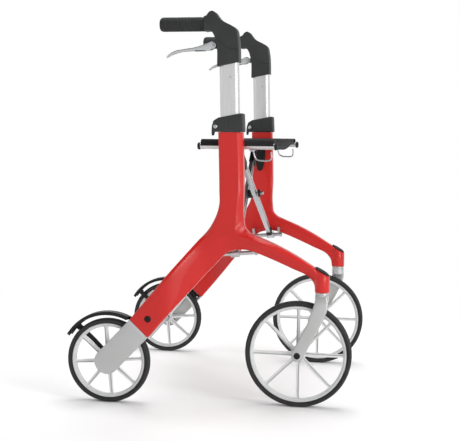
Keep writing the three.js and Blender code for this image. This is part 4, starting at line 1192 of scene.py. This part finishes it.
def brake_levers():
    """A flat forked lever: two arms beside the lug that join into one curved blade."""
    top = [(3, 5.5), (-4, 10), (-14, 6.0), (-26, 1.5), (-40, -2.5), (-52, -5), (-74, -8), (-86, -10),
           (-99, -15), (-112, -24)]
    low = [(1, -6), (-6, -10), (-16, -11.4), (-28, -11.6), (-40, -12), (-52, -12.2), (-72, -13.6),
           (-84, -16), (-97, -20.4), (-110, -28)]
    upper, under = open_line([(x, z, 0) for x, z in top], 4), open_line([(x, z, 0) for x, z in low], 4)
    rings = []
    count = len(upper)
    for i, (a, b) in enumerate(zip(upper, under)):
        t = i / (count - 1)
        wide = 8.5 - 1.6 * t - (3.0 * max(0, (t - 0.9) / 0.1) ** 2)
        middle, half = (a + b) / 2, max((a - b).length / 2, 1.2)
        up = (a - b).normalized()
        ring = rounded_box(wide, half, min(2.0, half), 4)
        rings.append([(BRAKE_X + middle.x + up.x * v, MAST_Y + u,
                       BRAKE_Z + middle.y + up.y * v) for u, v in ring])
    blade = loft(rings)
    room = slab(rectangle(BRAKE_X - 9, BRAKE_X + 20, BRAKE_Z - 30, BRAKE_Z + 30),
                MAST_Y - 5.5, MAST_Y + 5.5)
    window = slab(rectangle(BRAKE_X - 96, BRAKE_X - 26, BRAKE_Z - 34, BRAKE_Z + 20),
                  MAST_Y - 3.6, MAST_Y + 3.6)
    ears = moved(lathe([(2.9, -8.5), (6.4, -8.5), (7, -7.9), (7, 7.9), (6.4, 8.5), (2.9, 8.5)], 40,
                       looped=True),
                 (BRAKE_X, MAST_Y, BRAKE_Z))
    carved_pair("lever_blade", [blade], "bright_metal", "brake_lever", (room, window), joined=[ears])
    pad = [(-44, -12.6), (-20, -11.8), (-14, -10.6), (-14, -7.2), (-22, -6.4), (-44, -9.4)]
    pair("lever_pad", [slab(shifted(pad, BRAKE_X, BRAKE_Z), MAST_Y - 7.6, MAST_Y + 7.6)], "black_plastic",
         rides_with="brake_lever", bevel=0.9, segments=2)


collars()
handle_tubes()
brackets()
grips()
brake_levers()


# ---------------------------------------------------------------- folding cross frame and seat rails
def seat_rails():
    low, high = box_mm("left_seat_rail")
    profile = [(5.5, low[0]), (6.6, low[0]), (7, low[0] + 0.4), (7, high[0] - 0.4), (6.6, high[0]),
               (5.5, high[0])]
    verts, faces = lathe(profile, 48, looped=True)
    rail = [(y, SEAT_RAIL_Y + x, SEAT_RAIL_Z + z) for x, y, z in verts], faces
    pair("rail_tube", [rail], "silver_tube", stands_for="seat_rail")
    for end, out in (("front", 1), ("rear", -1)):
        low, high = box_mm(f"left_seat_rail_cap_{end}")
        start, tip = (low[0], high[0]) if out > 0 else (high[0], low[0])
        reach = abs(tip - start)
        dome = [(0.01, 0), (8.1, 0), (8.5, 0.5), (8.5, reach * 0.45), (8.0, reach * 0.72),
                (6.6, reach * 0.9), (4.5, reach), (0.01, reach)]
        verts, faces = lathe(dome, 40)
        cap = [(start + out * y, SEAT_RAIL_Y + x, SEAT_RAIL_Z + z) for x, y, z in verts], faces
        pair(f"rail_plug_{end}", [cap], "black_plastic", stands_for=f"seat_rail_cap_{end}")


def bag_hooks():
    path = [(104, 0), (106, -8), (109, -19), (113, -27.5), (121, -31.2), (130, -31.8), (139, -32),
            (146, -30.4), (149.6, -25.4), (150, -19), (149, -13.6)]
    line = open_line([(x, SEAT_RAIL_Y, SEAT_RAIL_Z + z - 1) for x, z in path], 5)
    wire = sweep(line, circle(2.0, 14))
    tip = moved(lathe([(0.01, -2.4), (1.6, -2.1), (2.4, -1.2), (2.6, 0), (2.4, 1.2), (1.6, 2.1),
                       (0.01, 2.4)], 24),
                (149, SEAT_RAIL_Y, SEAT_RAIL_Z - 14))
    foot = slab([(97, -7.4), (111, -7.4), (111, -10), (107, -11.6), (101, -11.6), (97, -10)], -3.4, 3.4)
    pair("hook_wire", [wire, tip, moved(foot, (0, SEAT_RAIL_Y, SEAT_RAIL_Z))], "steel",
         stands_for="bag_hook", smooth=50)


FOLD_LEAN = math.radians(5)
CROSS_OFFSET = 11
LOWER_RAIL_Y, LOWER_RAIL_Z, LOWER_RAIL_X = 213, 355.5, 78


def in_fold_plane(along, across, up):
    """A point given along the fold axis, across it and up the folding plane."""
    return (LOWER_RAIL_X + along * math.cos(FOLD_LEAN) - up * math.sin(FOLD_LEAN), across,
            LOWER_RAIL_Z + along * math.sin(FOLD_LEAN) + up * math.cos(FOLD_LEAN))


def cross_sleeves():
    """Black sleeves round each cross tube: a long one under the seat rail and a short one at the foot."""
    rise = (SEAT_RAIL_Z - LOWER_RAIL_Z) / math.cos(FOLD_LEAN)
    slope = math.atan2(rise, SEAT_RAIL_Y + LOWER_RAIL_Y)
    length = math.hypot(rise, SEAT_RAIL_Y + LOWER_RAIL_Y)
    for name, sign in (("rear", 1), ("front", -1)):
        parts = []
        for start, end in ((0.80, 0.925), (0.035, 0.065)):
            rings = []
            for t, swell in ((start, 0.0), (start, 1.6), (start + 0.006, 2.2), (end - 0.006, 2.2),
                             (end, 1.6), (end, 0.0)):
                at = t * length
                ring = []
                for a, b in rounded_box(5 + swell, 9 + swell, 2.4):
                    across = -LOWER_RAIL_Y + at * math.cos(slope) - b * math.sin(slope)
                    ring.append(in_fold_plane(a - sign * CROSS_OFFSET, across * sign,
                                              at * math.sin(slope) + b * math.cos(slope)))
                rings.append(ring)
            parts.append(loft(rings))
        made = solid(f"cross_sleeve_{name}", parts, "black_plastic", smooth=40)
        dress(made, BODY_OF[f"cross_tube_{name}"])


def cross_frame():
    for node, width in (("cross_tube_rear", 1.6), ("cross_tube_front", 1.6), ("cross_spacer", 0.5)):
        refined(node, width, smooth=40)
    for side in SIDES:
        refined(f"{side}_lower_rail", 0.7)
        refined(f"{side}_rail_saddle", 1.0)
    cross_sleeves()
    # the pivot bolt: black hub cover in front of a domed steel head
    low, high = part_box("cross_pivot_bolt")
    lean = math.radians(5)
    axis = Vector((math.cos(lean), 0, math.sin(lean)))
    middle = Vector([(a + b) / 2 for a, b in zip(low, high)])
    for name, profile, look in (
        ("pivot_screw", [(0.01, -25.6), (5.4, -25.6), (6.6, -25.0), (7, -23.9), (7, -20.6), (4, -20.6),
                         (4, 20.4), (0.01, 20.4)], "steel"),
        ("pivot_hub", [(3.6, 20.3), (8.6, 20.3), (9.4, 21.0), (9.4, 24.0), (8.6, 25.4), (6.5, 26.3),
                       (3.6, 26.3)], "black_plastic"),
        ("pivot_tip", [(0.01, 26.0), (4, 26.0), (4, 32.6), (3.4, 33.8), (1.8, 34.4), (0.01, 34.4)],
         "steel"),
    ):
        verts, faces = lathe(profile, 36)
        shift = 4.4
        part = []
        for x, y, z in verts:
            point = middle + (axis * (y - shift) + Vector((0, 1,
                                                           0)) * x + axis.cross(Vector((0, 1, 0))) * z) * MM
            part.append(((point.x - MIDDLE_X) / MM, point.y / MM, point.z / MM))
        made = solid(name, [(part, faces)], look, smooth=36)
        dress(made, BODY_OF["cross_pivot_bolt"], ["cross_pivot_bolt"] if name == "pivot_screw"
              else ())


seat_rails()
bag_hooks()
cross_frame()


# ---------------------------------------------------------------- seat
def seat_line():
    """Half of the cloth's cut line across the seat, from the middle to where it is tucked under a rail."""
    y, z, top = SEAT_RAIL_Y, SEAT_RAIL_Z, SEAT_RAIL_Z + 15.6
    points = [(0, top - 1.5), (y * 0.35, top - 1.4), (y * 0.65, top - 1.1), (y - 38, top - 0.4),
              (y - 22, top + 0.6), (y - 6, top + 1.0),
              (y + 4, top), (y + 7.8, z + 11.5), (y + 9.2, z + 6), (y + 9.0, z + 1.0)]
    return [(p.x, p.y) for p in open_line([(a, b, 0) for a, b in points], 6)]


def evenly(line, count):
    lengths = [0]
    for a, b in zip(line, line[1:]):
        lengths.append(lengths[-1] + math.dist(a, b))
    made, i = [], 0
    for k in range(count + 1):
        at = lengths[-1] * k / count
        while i < len(lengths) - 2 and lengths[i + 1] < at:
            i += 1
        t = (at - lengths[i]) / (lengths[i + 1] - lengths[i])
        made.append(mix(line[i], line[i + 1], t))
    return made, lengths[-1]


def make_seat():
    low, high = box_mm("seat_fabric")
    across, half_width = evenly(seat_line(), 56)
    line = [(-y, z) for y, z in reversed(across)] + across[1:]
    along = 36
    rows = len(line)
    mesh = bpy.data.meshes.new("seat_cloth")
    verts, flat = [], []
    for i, (y, z) in enumerate(line):
        inside = max(0, 1 - (y / (SEAT_RAIL_Y - 14)) ** 2) if abs(y) < SEAT_RAIL_Y - 14 else 0
        for k in range(along + 1):
            t = k / along
            sag = 5.5 * inside + 0.8 * inside * math.sin(5.2 * math.pi * t)
            x = low[0] + (high[0] - low[0]) * t
            waist = 3.5 * inside * (1 if t < 0.5 else -1) * abs(2 * t - 1) ** 3
            verts.append(((x + waist) * MM + MIDDLE_X, y * MM, (z - sag) * MM))
            flat.append((x * MM, (i / (rows - 1) * 2 - 1) * half_width * MM))
    faces = [(i * (along + 1) + k, i * (along + 1) + k + 1, (i + 1) * (along + 1) + k + 1,
              (i + 1) * (along + 1) + k)
             for i in range(rows - 1) for k in range(along)]
    mesh.from_pydata(verts, [], faces)
    layer = mesh.uv_layers.new(name="cut")
    for loop in mesh.loops:
        layer.data[loop.index].uv = flat[loop.vertex_index]
    mesh.polygons.foreach_set("use_smooth", [True] * len(mesh.polygons))
    mesh.materials.append(LOOKS["fabric"])
    seat = bpy.data.objects.new("seat_cloth", mesh)
    bpy.context.collection.objects.link(seat)
    held = seat.vertex_groups.new(name="held")
    for i, (y, _) in enumerate(line):
        grip = min(1, max(0, (abs(y) - (SEAT_RAIL_Y - 24)) / 10))
        if grip:
            held.add([i * (along + 1) + k for k in range(along + 1)], grip, "REPLACE")
    settle(seat)
    thick = seat.modifiers.new("thickness", "SOLIDIFY")
    thick.thickness = 2.4 * MM
    thick.offset = -1
    round_edge = seat.modifiers.new("edge", "BEVEL")
    round_edge.width = 0.8 * MM
    round_edge.segments = 3
    round_edge.limit_method = "ANGLE"
    round_edge.angle_limit = math.radians(50)
    bake(seat)
    return seat, half_width * 2, high[0] - low[0]


def settle(seat):
    """Lets the cloth hang between the rails under its own weight, then keeps that shape."""
    cloth = seat.modifiers.new("cloth", "CLOTH")
    settings = cloth.settings
    settings.quality = 8
    settings.mass = 0.25
    settings.tension_stiffness = 45
    settings.compression_stiffness = 30
    settings.shear_stiffness = 20
    settings.bending_stiffness = 6
    settings.air_damping = 4
    settings.vertex_group_mass = "held"
    cloth.point_cache.frame_start = 1
    cloth.point_cache.frame_end = 26
    scene = bpy.context.scene
    for frame_number in range(1, 27):
        scene.frame_set(frame_number)
    bake(seat)
    scene.frame_set(1)


def bake(made):
    bpy.context.view_layer.update()
    mesh = bpy.data.meshes.new_from_object(made.evaluated_get(bpy.context.evaluated_depsgraph_get()))
    mesh.validate()
    made.modifiers.clear()
    made.data = mesh


seat, SEAT_CUT, SEAT_DEPTH = make_seat()
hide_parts("seat_fabric")
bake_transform(seat)
